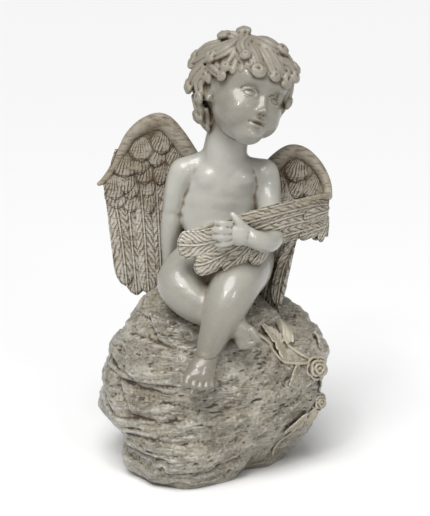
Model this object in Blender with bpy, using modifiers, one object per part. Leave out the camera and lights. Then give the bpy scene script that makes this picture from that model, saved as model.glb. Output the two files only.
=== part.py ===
"""A garden statue: a winged cherub seated on a boulder, cast in one piece of painted resin.

The cherub looks along -Y and its left wing wraps forward across the lap, held by the left hand.
The origin is on the flat underside of the boulder, below the seat.
"""

import math

import bmesh
import bpy
from mathutils import Euler, Matrix, Vector, noise
from mathutils.bvhtree import BVHTree

# Driving dimensions, in metres
STATUE_HEIGHT = 0.395       # floor to the top curl of the hair
CLAY_VOXEL = 0.0015         # grain at which the masses are fused into one solid
MOST_TRIANGLES = 9600       # the finished solid's facet count

# The carving is set out in parts: 395 parts make the statue's height, so a part is 1 mm at full size
PART = STATUE_HEIGHT / 395

RESIN_COLOUR = (0.56, 0.545, 0.49, 1.0)
RESIN_ROUGHNESS = 0.38

# Pose of the head: where the middle of the skull sits, and its turn, nod and tilt in degrees
HEAD_CENTRE = (27, 1, 340)
HEAD_SIZE = 1.12
HEAD_TURN = 27
HEAD_NOD = -4
HEAD_TILT = 19


def clear_scene():
    for old in list(bpy.data.objects):
        bpy.data.objects.remove(old)


def collection(name):
    made = bpy.data.collections.new(name)
    bpy.context.scene.collection.children.link(made)
    return made


def add_object(name, mesh):
    obj = bpy.data.objects.new(name, mesh)
    bpy.context.scene.collection.objects.link(obj)
    return obj


def parts(*numbers):
    """A point or vector given in parts, as metres."""
    return Vector(numbers) * PART


# Clay: the primitive masses that the figure is built up from

def ball(centre, radii, turn=(0, 0, 0), segments=24, rings=14):
    """An ellipsoid. Its centre and three radii are in parts, its turn in degrees."""
    bm = bmesh.new()
    bmesh.ops.create_uvsphere(bm, u_segments=segments, v_segments=rings, radius=1)
    size = Matrix.Diagonal(parts(*radii).to_4d())
    spin = Euler([math.radians(angle) for angle in turn]).to_matrix().to_4x4()
    bm.transform(Matrix.Translation(parts(*centre)) @ spin @ size)
    return finish_clay(bm, "ball")


def finish_clay(bm, name):
    mesh = bpy.data.meshes.new(name)
    bm.to_mesh(mesh)
    bm.free()
    return add_object(name, mesh)


def smooth_path(points, steps):
    """A Catmull-Rom curve through points of any dimension, with `steps` spans between neighbours."""
    ends = [points[0] * 2 - points[1], *points, points[-1] * 2 - points[-2]]
    path = []
    for p0, p1, p2, p3 in zip(ends, ends[1:], ends[2:], ends[3:]):
        for step in range(steps):
            t = step / steps
            path.append(0.5 * (2 * p1 + (p2 - p0) * t + (2 * p0 - 5 * p1 + 4 * p2 - p3) * t * t
                               + (3 * p1 - p0 - 3 * p2 + p3) * t * t * t))
    path.append(points[-1].copy())
    return path


def limb(stations, steps=5, sides=4):
    """A tapering round limb through stations (x, y, z, radius) in parts, with ball ends."""
    path = smooth_path([Vector(station) for station in stations], steps)
    curve = bpy.data.curves.new("limb", "CURVE")
    curve.dimensions = "3D"
    curve.bevel_depth = PART
    curve.bevel_resolution = sides
    curve.use_fill_caps = True
    spline = curve.splines.new("POLY")
    spline.points.add(len(path) - 1)
    for point, station in zip(spline.points, path):
        point.co = (*(station.xyz * PART), 1)
        point.radius = station.w
    obj = add_object("limb", curve)
    bm = bmesh.new()
    bm.from_mesh(bpy.data.meshes.new_from_object(obj))
    bpy.data.objects.remove(obj)
    bmesh.ops.remove_doubles(bm, verts=bm.verts, dist=PART / 1000)
    made = finish_clay(bm, "limb")
    caps = [ball(path[end].xyz, [path[end].w] * 3, segments=16, rings=10) for end in (0, -1)]
    return join([made, *caps])


def join(pieces):
    """One object holding the meshes of all these objects."""
    bm = bmesh.new()
    for piece in pieces:
        bm.from_mesh(piece.data)
        bpy.data.objects.remove(piece)
    return finish_clay(bm, "clay")


def apply_modifiers(obj):
    mesh = bpy.data.meshes.new_from_object(obj.evaluated_get(bpy.context.evaluated_depsgraph_get()))
    obj.modifiers.clear()
    obj.data = mesh
    return obj


def fuse(pieces, voxel=CLAY_VOXEL, rounding=0, swell=0):
    """Melts overlapping pieces into one skin, rubs it smooth, then gives back what the rubbing took."""
    obj = join(pieces)
    remesh = obj.modifiers.new("Fuse", "REMESH")
    remesh.mode = "VOXEL"
    remesh.voxel_size = voxel
    if rounding:
        rub = obj.modifiers.new("Rub", "SMOOTH")
        rub.factor = 0.5
        rub.iterations = rounding
    if swell:
        puff = obj.modifiers.new("Swell", "DISPLACE")
        puff.mid_level = 0
        puff.strength = swell * PART
    return apply_modifiers(obj)


# The boulder

ROCK_MASSES = [
    # centre, radii
    ((-5, 4, 74), (98, 84, 80)),
    ((-50, 0, 65), (56.5, 70, 44)),
    ((-23, -18, 36), (64, 72, 60)),
    ((11, 16, 38), (77.5, 62, 60)),
    ((50, -2, 64), (48, 50, 34)),
    ((-20, 6, 118), (61, 66, 46)),
    ((6, 8, 128), (54, 62, 36)),
    ((61, 2, 92), (42, 54, 39)),
    ((30, 40, 100), (62, 44, 56)),
    ((-56, 16, 151), (12, 14, 12)),
]


LUMPS = [
    # each layer: how long and how tall its lumps are, how far they stand out, and where the pattern starts
    ((46, 46), 6, (0, 0, 0)),
    ((19, 19), 3, (7, 3, 5)),
    ((70, 13), 3, (2, 8, 1)),
]


def lumpy(point):
    """How far the boulder's skin stands out at a point, in parts: broad lumps and level ledges."""
    rise = 0
    for (across, tall), stand, start in LUMPS:
        place = Vector((point.x / across, point.y / across, point.z / tall)) / PART
        rise += stand * noise.noise(place + Vector(start))
    return rise


def boulder():
    masses = [ball(centre, radii, segments=48, rings=28) for centre, radii in ROCK_MASSES]
    rock = fuse(masses, voxel=2 * CLAY_VOXEL, rounding=14)
    for vertex in rock.data.vertices:
        vertex.co += vertex.normal * lumpy(vertex.co) * PART
    return rock


# The body

TORSO_MASSES = [
    ((9, 11.5, 254), (34, 20, 31), (0, 0, 0)),      # ribs and chest
    ((7, 11, 240), (35, 19.5, 24), (0, 0, 0)),      # lower ribs
    ((5.5, 11, 226), (36, 20, 30), (0, 0, 0)),      # waist
    ((6, 5, 212), (32, 18, 24), (0, 0, 0)),         # belly
    ((9, 14, 190), (38, 25, 20), (0, 0, 0)),        # pelvis
    ((6, -10, 186), (28, 22, 16), (0, 0, 0)),       # lap
    ((0, -36, 168), (20, 20, 15), (0, 0, 0)),       # between the thighs
    ((-7, 27, 184), (20, 18, 18), (0, 0, 0)),       # right buttock
    ((29, 27, 184), (20, 18, 18), (0, 0, 0)),       # left buttock
    ((-13, 26, 260), (14, 10, 17), (0, 0, 12)),     # right shoulder blade
    ((31, 26, 256), (14, 10, 16), (0, 0, -12)),     # left shoulder blade
    ((9, 21, 278), (19, 14, 16), (0, 0, 0)),        # nape
]

# Each limb's stations: x, y, z and radius
RIGHT_ARM = [(-27.5, 13, 266, 13.2), (-31.5, 15, 256, 12.4), (-34.5, 16, 244, 11.2),
             (-37.5, 17, 229, 9.8),
             (-39, 18, 216, 10), (-39.5, 20, 202, 9.6), (-39.5, 20, 186, 8.2), (-40, 20, 176, 7.8)]
LEFT_ARM = [(44, 10, 265, 13), (46.5, 8, 255, 12), (48, 0, 242, 10.8), (49.5, -14, 230, 10),
            (50.5, -30, 221, 9.5),
            (49, -44, 216.5, 9.2), (44.5, -56, 215.5, 8.6), (38, -66, 218.5, 7.8), (32, -71, 222, 7.2)]
RIGHT_SHOULDER = [(6, 13, 281, 13), (-8, 14, 275, 10.5), (-23, 14, 269, 11)]
LEFT_SHOULDER = [(13, 13, 275, 12), (27, 13, 270, 10.2), (41, 11, 267, 11)]
NECK = [(9, 14, 270, 22), (9, 13, 284, 19.4), (11, 11, 297, 18.6), (15, 8, 312, 18.4)]
RIGHT_LEG = [(-7, 12, 186, 25), (-18, -13, 184, 23.5), (-28, -36, 180, 21), (-30, -46, 175, 19),
             (-20, -54, 165, 17.4), (-6, -60, 157, 15), (6, -66, 150, 11.5), (15, -70, 146, 8.8)]
LEFT_LEG = [(29, 12, 187, 24.5), (26, -18, 184, 23.5), (20, -44, 181, 22), (15, -58, 174, 20.6),
            (9, -67, 162, 18.4), (3, -74, 148, 15.2), (-3, -81, 135, 11.4), (-7, -86, 124, 9)]

FINGERS = [
    # knuckle, middle joint and tip of each finger of the left hand, forefinger first
    [(12, -75, 235, 2.8), (6.5, -78.5, 236.5, 2.6), (0.8, -75, 236.5, 2.3)],
    [(11, -76, 229.8, 2.9), (5, -79.5, 230.6, 2.7), (-1.2, -76, 230.4, 2.4)],
    [(11, -76, 224.2, 2.9), (4.7, -79.5, 224.2, 2.7), (-1.2, -76, 224, 2.4)],
    [(12, -75, 218.6, 2.7), (6.5, -78, 218, 2.5), (1, -75, 217.6, 2.2)],
]
THUMB = [(23.5, -72, 232, 4), (19, -75, 238, 3.3), (14.5, -74, 243, 2.7)]
HAND_MASSES = [
    ((19.5, -71, 226.5), (11, 7.4, 11), (0, 0, 0)),
    ((27.5, -70, 223.5), (8.5, 7.2, 8.6), (0, 0, 0)),
]


def left_hand():
    palm = [ball(*mass) for mass in HAND_MASSES]
    return palm + [limb(finger, steps=4) for finger in (*FINGERS, THUMB)]


def right_hand():
    return [ball(*RIGHT_PALM), *[limb(finger, steps=3) for finger in RIGHT_FINGERS]]


LEFT_TOES = [
    # root and tip of each toe, big toe first
    [(-23, -100, 108.5, 4.3), (-23.6, -104.5, 104.5, 4)],
    [(-17.2, -101.5, 107, 3.3), (-17.6, -105.5, 102.4, 3)],
    [(-12, -101.5, 106, 3.1), (-12.1, -105.5, 101.2, 2.8)],
    [(-7.2, -100.5, 106, 2.9), (-7, -104.5, 101, 2.6)],
    [(-3, -99, 106.4, 2.6), (-2.4, -102.5, 102, 2.4)],
]
RIGHT_PALM = ((-42, 14, 171), (9.5, 11, 6.5), (-12, 0, 8))
RIGHT_FINGERS = [
    # the four fingers lie flat on the boulder and point forward
    [(x, 6, 170.5, 2.6), (x - 0.8, -1, 169, 2.4), (x - 1.2, -7, 165, 2.1)]
    for x in (-48.5, -44.3, -40.1, -35.9)
]
LEFT_FOOT = [
    ((-8, -87, 121), (10, 9.5, 10.5)), ((-11, -93, 115), (12.2, 7.6, 9.5), (-38, 0, 8)),
    ((-13.2, -98, 109.5), (13, 5.8, 6.8), (-38, 0, 8)), ((-7, -82, 119), (9, 10, 10)),
]
RIGHT_FOOT = [((18, -72, 145), (10, 8, 9.5), (0, 35, 0)),
              ((24.5, -76.5, 140.5), (12.5, 6, 9), (0, 42, 0))]
RIGHT_TOES = [
    [(31, -78, 144, 3.8), (36, -82, 137, 3.5)],
    [(28, -80, 138.5, 2.8), (31.5, -83, 133, 2.5)],
    [(25, -80.5, 136.5, 2.7), (28.3, -83.5, 131.3, 2.4)],
    [(22, -80.5, 135, 2.5), (25, -83.5, 130, 2.2)],
    [(19.3, -80, 134, 2.3), (21.8, -83, 129.6, 2)],
]


def feet():
    toes = [limb(toe, steps=2) for toe in LEFT_TOES + RIGHT_TOES]
    return [ball(*mass) for mass in LEFT_FOOT + RIGHT_FOOT] + toes


def body():
    masses = [ball(*mass) for mass in TORSO_MASSES]
    lines = [RIGHT_ARM, LEFT_ARM, RIGHT_SHOULDER, LEFT_SHOULDER, NECK, RIGHT_LEG, LEFT_LEG]
    flesh = fuse(masses + [limb(line) for line in lines], rounding=14, swell=0.9)
    return [flesh, *left_hand(), *right_hand(), *feet()]


# The head, modelled facing -Y round the middle of the skull, then posed

HEAD_MASSES = [
    ((0, 5, 4), (32, 37, 34), (0, 0, 0)),           # skull
    ((0, -12, 9), (27, 22, 24), (0, 0, 0)),         # forehead
    ((0, -9, -14), (27.5, 23, 25), (0, 0, 0)),      # face
    ((-11, -14, -20), (14, 15, 14), (0, 0, 0)),     # right cheek
    ((11, -14, -20), (14, 15, 14), (0, 0, 0)),      # left cheek
    ((0, -19, -32), (12, 12, 10), (0, 0, 0)),       # chin
]
EARS = [((-29, 2, -9), (4, 6, 9), (-8, 0, 0)), ((29, 2, -9), (4, 6, 9), (-8, 0, 0))]
FACE_RELIEF = [
    # across, up, half-width, half-height, and how far that swelling stands out of the face
    (11.5, -3, 7, 5, -2.8),     # eye sockets
    (11, 5, 8, 3, 0.9),         # brows
    (11.5, -5, 4.4, 3.2, 2.5),  # eyeballs
    (0, -8, 3, 6, 2.6),         # bridge of the nose
    (0, -15.5, 3.4, 3.4, 5.4),  # tip of the nose
    (3.8, -17.2, 2, 2, 2.4),    # nostrils
    (0, -25, 8, 6, 1.6),        # round the mouth
    (2.2, -23.6, 3, 1.5, 1.4),  # upper lip
    (0, -28, 4, 1.7, 1.7),      # lower lip
    (0, -25.8, 5, 0.9, -1.4),   # between the lips
    (0, -31.4, 5, 1.8, -0.9),   # under the lips
    (0, -36, 6, 4, 1.6),        # chin
    (14, -17, 8, 7, 1.6),       # cheeks
]


def head_pose():
    turns = [math.radians(angle) for angle in (HEAD_NOD, HEAD_TILT, HEAD_TURN)]
    turn = Euler(turns, "XYZ").to_matrix().to_4x4()
    return Matrix.Translation(parts(*HEAD_CENTRE)) @ turn @ Matrix.Scale(HEAD_SIZE, 4)


def relief(across, up, rows):
    """How far the face stands out at a place: every row off the middle counts on both sides."""
    height = 0
    for x, z, wide, tall, rise in rows:
        for side in {x, -x}:
            height += rise * math.exp(-((across - side) / wide) ** 2 - ((up - z) / tall) ** 2)
    return height


def head():
    skin = fuse([ball(*mass) for mass in HEAD_MASSES], rounding=16, swell=1.1)
    for vertex in skin.data.vertices:
        across, depth, up = vertex.co / PART
        if depth < -8:
            vertex.co.y -= relief(across, up, FACE_RELIEF) * min(1, (-8 - depth) / 8) * PART
    return [skin, *[ball(*ear) for ear in EARS]]


SCALP_MASSES = [((0, 10.5, 8), (34, 36, 34.5)), ((0, -6, 19), (29, 28, 18)), ((0, 24, -14), (27, 22, 26))]
SKULL = (32, 37, 35)        # radii of the cap that the hair lies on
SKULL_MIDDLE = (0, 6, 4)
CROWN = (12, 82)            # where the locks start: degrees round from the face, degrees above the ears
CROWN_PULL = 0.34           # how much of the way round a lock's start is drawn to the crown
LOCK_REACH = 48             # how many degrees above its end a lock starts
LOCK_SWING = 10             # how many degrees a lock bows out on its way
LOCK_STEPS = 6
COIL_TURNS = 1.2
COIL_STEPS = 9
COIL_REACH = (0.68, 0.18)   # of the lock's width: from the coil's outer turn to its middle
COIL_TUBE = (0.5, 0.36)     # of the lock's width: the tube's radius, outside and in the middle
COIL_RISE = 2.5             # how far a coil's middle stands over its start
ROW_STAND = 6               # how far the back's coils stand off the skull


def on_skull(around, above, lift):
    """A point over the skull: around is 0 at the face and positive to the cherub's left."""
    a, e = math.radians(around), math.radians(above)
    out = Vector((math.sin(a) * math.cos(e), -math.cos(a) * math.cos(e), math.sin(e)))
    return Vector(SKULL_MIDDLE) + Vector([(r + lift) * o for r, o in zip(SKULL, out)])


FRONT_LOCKS = [
    # where each lock ends: degrees around, degrees above, width, which way it curls, how far it stands off
    (-14, 18, 7.0, 1, 7), (36, 19, 6.8, -1, 7), (12, 29, 6.4, 1, 6), (-40, 28, 6.4, -1, 6),
    (53, 32, 6.6, 1, 7),
    (-63, 8, 6.4, -1, 7), (55, 8, 6.0, -1, 2), (41, 56, 7.2, 1, 7), (58, -9, 5.8, 1, 3),
    (-66, 33, 6.8, 1, 6),
    (-2, 48, 7.2, -1, 6), (-38, 52, 7.2, 1, 6), (-85, 71, 7.0, -1, 6.2), (-108, 52, 7.0, 1, 5),
    (-86, 15, 6.8, -1, 6),
    (-118, 24, 7.2, 1, 10), (-113, 3, 7.0, -1, 6), (-123, -16, 7.4, 1, 9), (-104, -12, 6.2, -1, 5),
    (-127, -42, 7.2, -1, 9), (-134, -62, 6.4, 1, 12), (-100, -36, 6.0, 1, 4), (64, -28, 4.6, -1, 0),
    (84, -50, 4.6, 1, 2),
]
# Rows of the other locks, round the back: degrees above, first and last degrees around, how many, width
LOCK_ROWS = [
    (60, 96, 246, 5, 7.4), (38, 82, 232, 6, 7.4), (15, 84, 226, 6, 7.4), (-8, 88, 222, 6, 7.2),
    (-31, 100, 216, 5, 7.0),
    (-53, 112, 220, 4, 6.4),
]


def all_locks():
    locks = list(FRONT_LOCKS)
    for row, (above, first, last, count, width) in enumerate(LOCK_ROWS):
        for index in range(count):
            around = first + (last - first) * (index + 0.5 * (row % 2)) / count
            locks.append((around, above, width, 1 if (index + row) % 2 else -1, ROW_STAND))
    return locks


def lock(around, above, width, curl, stand):
    """A lock of hair that lies along the skull from the crown and ends in a coil that stands out."""
    start_around = around + (CROWN[0] - around) * CROWN_PULL
    start_above = min(CROWN[1], above + LOCK_REACH)
    stations = []
    for step in range(LOCK_STEPS):
        t = step / LOCK_STEPS
        swing = LOCK_SWING * curl * math.sin(math.pi * t)
        place = on_skull(start_around + (around - start_around) * t + swing,
                         start_above + (above - start_above) * t, 2 + (stand - 2) * t)
        stations.append((*place, width * (0.5 + 0.2 * math.sin(math.pi * t))))
    middle = on_skull(around, above, stand)
    out = (middle - Vector(SKULL_MIDDLE)).normalized()
    along = (middle - Vector(stations[-1][:3])).normalized()
    side = out.cross(along) * curl
    for step in range(COIL_STEPS):
        t = step / (COIL_STEPS - 1)
        angle = t * COIL_TURNS * 2 * math.pi
        reach = width * (COIL_REACH[0] + (COIL_REACH[1] - COIL_REACH[0]) * t)
        place = middle + (side * math.cos(angle) + along * math.sin(angle)) * reach + out * COIL_RISE * t
        stations.append((*place, width * (COIL_TUBE[0] + (COIL_TUBE[1] - COIL_TUBE[0]) * t)))
    return limb(stations, steps=3, sides=2)


def posed_head():
    whole = join([*head(), *scalp(), *[lock(*ending) for ending in all_locks()]])
    whole.data.transform(head_pose())
    return whole


def scalp():
    """The cap of hair between the locks, clear of the face."""
    return [ball(*mass) for mass in SCALP_MASSES]


# The wings

LIFT = 4.6                  # how far a feather's tip stands over the middle of the blade
EDGE_DROOP = 1.8            # how far a feather's edges fall below its shaft
ROOT_WIDTH = 0.75           # a feather's width at its base, as a share of its full width
TIP_ROUND = 0.55            # how much of a feather's length its round tip takes, in widths
FEATHER_WALL = 3.0
LAP_LIFT = 2                # how far the lowest lap feather's tip stands over the blade
LAP_STEP = 0.45             # how much higher each lap feather lies than the one before


class Blade:
    """The thick curved sheet of a wing, between an upper edge and a lower edge.

    A place on it is (span, drop): span runs from the root to the far end and drop from the upper edge down.
    """

    def __init__(self, upper, lower, outward):
        self.upper = smooth_path([Vector(point) for point in upper], 8)
        self.lower = smooth_path([Vector(point) for point in lower], 8)
        self.outward = outward

    @staticmethod
    def along(line, share):
        place = share * (len(line) - 1)
        index = min(max(int(place), 0), len(line) - 2)
        return line[index].lerp(line[index + 1], place - index)

    def point(self, span, drop):
        return self.along(self.upper, span).lerp(self.along(self.lower, span), drop)

    def normal(self, span, drop):
        step = 0.01
        across = self.point(span + step, drop) - self.point(span - step, drop)
        down = self.point(span, drop + step) - self.point(span, drop - step)
        return (down.cross(across) * self.outward).normalized()

    def sheet(self, thickness, reach, columns=40, rows=10):
        """The blade itself, as a slab that covers this share of the span and of the drop."""
        bm = bmesh.new()
        bmesh.ops.create_grid(bm, x_segments=columns, y_segments=rows, size=0.5)
        for vertex in bm.verts:
            vertex.co = self.point((vertex.co.x + 0.5) * reach[0], (vertex.co.y + 0.5) * reach[1]) * PART
        return solidified(finish_clay(bm, "blade"), thickness)

    def feather(self, base, tip, width, side, lift=LIFT, columns=10, rows=4):
        """A feather's vane, lying on the blade from base to tip, both (span, drop), on its side 1 or -1."""
        bm = bmesh.new()
        bmesh.ops.create_grid(bm, x_segments=columns, y_segments=rows, size=0.5)
        for vertex in bm.verts:
            u, v = vertex.co.x + 0.5, vertex.co.y * 2
            vertex.co = self.vane_point(base, tip, width, side, lift, u, v) * PART
        return finish_clay(bm, "feather")

    def vane_point(self, base, tip, width, side, lift, u, v):
        """A point of the vane: u runs from its base to its tip, v from one edge at -1 to the other at 1."""
        span = base[0] + (tip[0] - base[0]) * u
        drop = base[1] + (tip[1] - base[1]) * u
        step = 0.02
        here = self.point(span, drop)
        ahead = self.point(span + (tip[0] - base[0]) * step, drop + (tip[1] - base[1]) * step)
        normal = self.normal(span, drop) * side
        across = normal.cross(ahead - here).normalized()
        length = (self.point(*tip) - self.point(*base)).length
        round_from = 1 - min(0.5, TIP_ROUND * width / length)
        past = max(0, u - round_from) / (1 - round_from)
        spread = ROOT_WIDTH + (1 - ROOT_WIDTH) * min(1, 2 * u)
        half = 0.5 * width * spread * math.sqrt(max(0.03, 1 - past * past))
        height = 0.5 + (lift - 0.5) * u ** 0.7 - EDGE_DROOP * v * v
        return here + across * half * v + normal * height


def solidified(obj, thickness):
    wall = obj.modifiers.new("Wall", "SOLIDIFY")
    wall.thickness = thickness * PART
    wall.offset = 0
    return apply_modifiers(obj)


RIGHT_BAND = [(-8, 30, 259, 8), (-19, 34, 273, 7.6), (-34, 37, 295, 7.8), (-48, 38, 308.5, 8),
              (-63, 37, 306, 7),
              (-76, 36, 296, 5.6), (-84, 35, 283, 4.6), (-94, 34, 265, 3.6), (-102, 33, 255, 2.8),
              (-106, 32, 252.5, 2)]
RIGHT_LOWER = [(-14, 36, 190), (-24, 36, 170), (-38, 36, 160), (-52, 36, 160), (-64, 36, 156),
               (-75, 36, 151.5), (-84, 35, 154), (-89, 34, 165), (-90, 34, 184), (-92, 34, 215)]
LEFT_BAND = [(36, 30, 256, 8.5), (47, 32, 263, 7.8), (58, 35, 274, 7.5), (69, 37, 281, 7),
             (80, 37, 279.5, 6.5),
             (90, 34, 272, 5.8), (97, 28, 263, 5), (101, 19, 253.5, 4.4), (101.5, 9, 245, 4)]
LEFT_LOWER = [(38, 30, 168), (42, 26, 150), (47, 20, 141), (51, 15, 136), (54.5, 11, 133),
              (55, 11, 143), (52, 13, 158), (56, 15, 177), (72, 13, 204)]
LAP_BAND = [(101.5, 9, 245, 4), (100, -2, 246.5, 3), (91, -12, 247.5, 2.4), (74, -28, 246.5, 2.1),
            (56, -43, 244.5, 2),
            (35, -54, 241.5, 2), (16, -60, 237, 1.9), (-6, -64.5, 231.5, 1.8), (-19, -67, 228, 1.6)]
LAP_UPPER = [station[:3] for station in LAP_BAND] + [(-30, -67.5, 225)]
LAP_LOWER = [(100, 9, 210), (94, -2, 207), (82, -14, 211), (66, -30, 213), (50, -43, 212),
             (32, -53, 204), (15, -60, 199), (-4, -65, 196), (-16, -67, 199), (-27, -68, 205)]


def rows_of_coverts(blade, spans, rows, side):
    """Rows of short round feathers. Each row: drop of its bases, reach, width and count."""
    first, last = spans
    vanes = []
    for number, (drop, reach, width, count) in enumerate(rows):
        for index in range(count):
            at = first + (last - first) * (index + 0.25 + 0.5 * (number % 2)) / count
            lift = LIFT + 0.5 * (index % 2)
            vanes.append(blade.feather((at, drop), (at + 0.01, drop + reach), width, side, lift))
    return vanes


RIGHT_COVERTS = [(0.36, 0.25, 15, 6), (0.24, 0.22, 15, 6), (0.13, 0.21, 16, 5), (0.03, 0.19, 18, 4)]
LEFT_COVERTS = [(0.44, 0.24, 14, 6), (0.29, 0.24, 15, 6), (0.13, 0.24, 17, 5)]
RIGHT_LONG = [
    # base and tip, both (span, drop), and width, from the outer edge inwards
    ((0.90, 0.30), (0.66, 1.02), 14), ((0.78, 0.36), (0.555, 1.02), 14), ((0.66, 0.40), (0.45, 1.0), 14),
    ((0.54, 0.42), (0.35, 1.0), 14), ((0.42, 0.42), (0.25, 1.0), 14), ((0.30, 0.42), (0.15, 1.0), 14),
    ((0.18, 0.42), (0.07, 1.0), 14),
]
LEFT_LONG = [
    ((0.86, 0.50), (0.62, 1.0), 12), ((0.72, 0.42), (0.51, 1.0), 12), ((0.58, 0.42), (0.40, 1.0), 12),
    ((0.44, 0.42), (0.28, 1.0), 12), ((0.30, 0.42), (0.15, 1.0), 12),
]
LAP_FEATHERS = [
    # base and tip, both (span, drop), and width, the lowest layer first
    ((0.30, 0.85), (0.68, 1.13), 15), ((0.28, 0.75), (0.815, 1.10), 18),
    ((0.28, 0.62), (0.945, 0.98), 18),
    ((0.20, 0.30), (1.035, 0.44), 23), ((0.14, 0.70), (0.44, 0.85), 15), ((0.12, 0.50), (0.56, 0.58), 15),
    ((0.04, 0.50), (0.14, 1.02), 12), ((0.02, 0.50), (0.06, 0.96), 12), ((0.10, 0.66), (0.30, 0.90), 15),
    ((0.02, 0.30), (0.26, 0.52), 20),
]


def right_wing():
    blade = Blade([station[:3] for station in RIGHT_BAND], RIGHT_LOWER, 1)
    vanes = []
    for side in (1, -1):
        for index, (base, tip, width) in enumerate(RIGHT_LONG):
            vanes.append(blade.feather(base, tip, width, side, LIFT - 0.8 * (index % 2)))
        vanes += rows_of_coverts(blade, (0.10, 0.86), RIGHT_COVERTS, side)
    return [limb(RIGHT_BAND), blade.sheet(6, (0.9, 0.92)), solidified(join(vanes), FEATHER_WALL)]


def left_wing():
    blade = Blade([station[:3] for station in LEFT_BAND], LEFT_LOWER, 1)
    lap = Blade(LAP_UPPER, LAP_LOWER, 1)
    vanes = []
    for side in (1, -1):
        for index, (base, tip, width) in enumerate(LEFT_LONG):
            vanes.append(blade.feather(base, tip, width, side, LIFT - 0.8 * (index % 2)))
        vanes += rows_of_coverts(blade, (0.06, 0.95), LEFT_COVERTS, side)
        for level, (base, tip, width) in enumerate(LAP_FEATHERS):
            lift = LAP_LIFT + LAP_STEP * level
            vanes.append(lap.feather(base, tip, width, side, lift, columns=20, rows=6))
    sheets = [blade.sheet(5, (1, 0.9)), lap.sheet(4, (0.9, 0.82))]
    return [limb(LEFT_BAND), limb(LAP_BAND), *sheets, solidified(join(vanes), FEATHER_WALL)]


# The rose spray on the boulder's left side

ROSES = [
    # degrees round, height, radius, and the way the rose faces
    (109, 98, 9.6, (0.62, -0.75, 0.2)), (101, 62, 8.4, (0.8, -0.55, 0.15)),
]
LEAVES = [
    # places of the foot and the tip, both degrees round and height, and width
    ((128, 112), (119, 129), 12), ((124, 120), (126, 135), 9), ((125, 104), (131, 88), 9),
    ((112, 54), (122, 40), 12),
    ((105, 92), (99, 75), 15), ((103, 112), (96, 122), 11), ((105, 58), (106, 41), 14),
    ((118, 120), (109, 134), 8),
]
STEMS = [
    # places along each stem: degrees round, height
    [(150, 139), (142, 132), (135.6, 124.7), (132.7, 117.4), (131, 110.4), (127.5, 106),
     (121.5, 104.4), (114, 103)],
    [(107, 132), (115, 128), (117.7, 123), (119, 118), (116.9, 111), (113, 105)],
    [(107, 90), (103, 78), (101, 66)],
    [(102, 58), (104, 40), (108, 32), (113, 26), (116, 20), (114, 13)],
]
ROSE_SUNK = 0.15            # of its radius: how far a rose's dome stands out of the stone
ROSE_DOME = 0.85            # the dome's radius, as a share of the rose's
ROSE_TURNS = 2.2
ROSE_STEPS = 18
PETAL_REACH = (0.95, 0.15)  # of the rose's radius: from the petal's outer turn to its middle
PETAL_RISE = (0.15, 0.9)
PETAL = 1.7                 # thickness of a rolled petal
STEM = 1.9                  # radius of a stem
LEAF = 3                    # half of a leaf's thickness


class Skin:
    """Finds places on the boulder's side by degrees round it and height."""

    def __init__(self, rock):
        corners = [vertex.co for vertex in rock.data.vertices]
        self.tree = BVHTree.FromPolygons(corners, [face.vertices for face in rock.data.polygons])

    def place(self, around, height):
        """The surface point and its outward normal, in parts. Degrees run clockwise from the back."""
        angle = math.radians(around)
        out = Vector((math.sin(angle), math.cos(angle), 0))
        hit, normal, *_ = self.tree.ray_cast(parts(0, 0, height) + out * 300 * PART, -out)
        return hit / PART, normal


def rose(point, facing, radius):
    """An open rose: a dome with one long petal wound round its middle."""
    middle = point + facing * radius * ROSE_SUNK
    side = facing.orthogonal().normalized()
    other = facing.cross(side)
    petal = []
    for step in range(ROSE_STEPS + 1):
        t = step / ROSE_STEPS
        angle = t * ROSE_TURNS * 2 * math.pi
        reach = radius * (PETAL_REACH[0] + (PETAL_REACH[1] - PETAL_REACH[0]) * t)
        rise = radius * (PETAL_RISE[0] + (PETAL_RISE[1] - PETAL_RISE[0]) * t)
        place = middle + (side * math.cos(angle) + other * math.sin(angle)) * reach + facing * rise
        petal.append((*place, PETAL))
    return [ball(middle, [radius * ROSE_DOME] * 3), limb(petal, steps=2, sides=2)]


def leaf(foot, tip, normal, width):
    """A flat leaf of clay from its foot to its tip."""
    along = tip - foot
    across = normal.cross(along).normalized()
    frame = Matrix((along.normalized(), across, along.normalized().cross(across))).transposed()
    turn = [math.degrees(angle) for angle in frame.to_euler()]
    return ball((foot + tip) / 2, (along.length / 2, width / 2, LEAF), turn)


def rose_spray(skin):
    clay = []
    for around, height, radius, facing in ROSES:
        clay += rose(skin.place(around, height)[0], Vector(facing).normalized(), radius)
    for foot, tip, width in LEAVES:
        (low, normal), (high, _) = skin.place(*foot), skin.place(*tip)
        clay.append(leaf(low + normal, high + normal, normal, width))
    for line in STEMS:
        stations = []
        for place in line:
            point, normal = skin.place(*place)
            stations.append((*(point + normal * 0.6), STEM))
        clay.append(limb(stations, steps=4, sides=2))
    return clay


# The casting

def largest_shell(obj):
    """Drops the sealed pockets that fusing leaves inside the solid."""
    bm = bmesh.new()
    bm.from_mesh(obj.data)
    bm.verts.ensure_lookup_table()
    unseen = set(bm.verts)
    shells = []
    while unseen:
        seed = unseen.pop()
        shell, edge = {seed}, [seed]
        while edge:
            vertex = edge.pop()
            for link in vertex.link_edges:
                other = link.other_vert(vertex)
                if other in unseen:
                    unseen.discard(other)
                    shell.add(other)
                    edge.append(other)
        shells.append(shell)
    shells.sort(key=len)
    bmesh.ops.delete(bm, geom=[vertex for shell in shells[:-1] for vertex in shell], context="VERTS")
    bm.to_mesh(obj.data)
    bm.free()
    return obj


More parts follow.
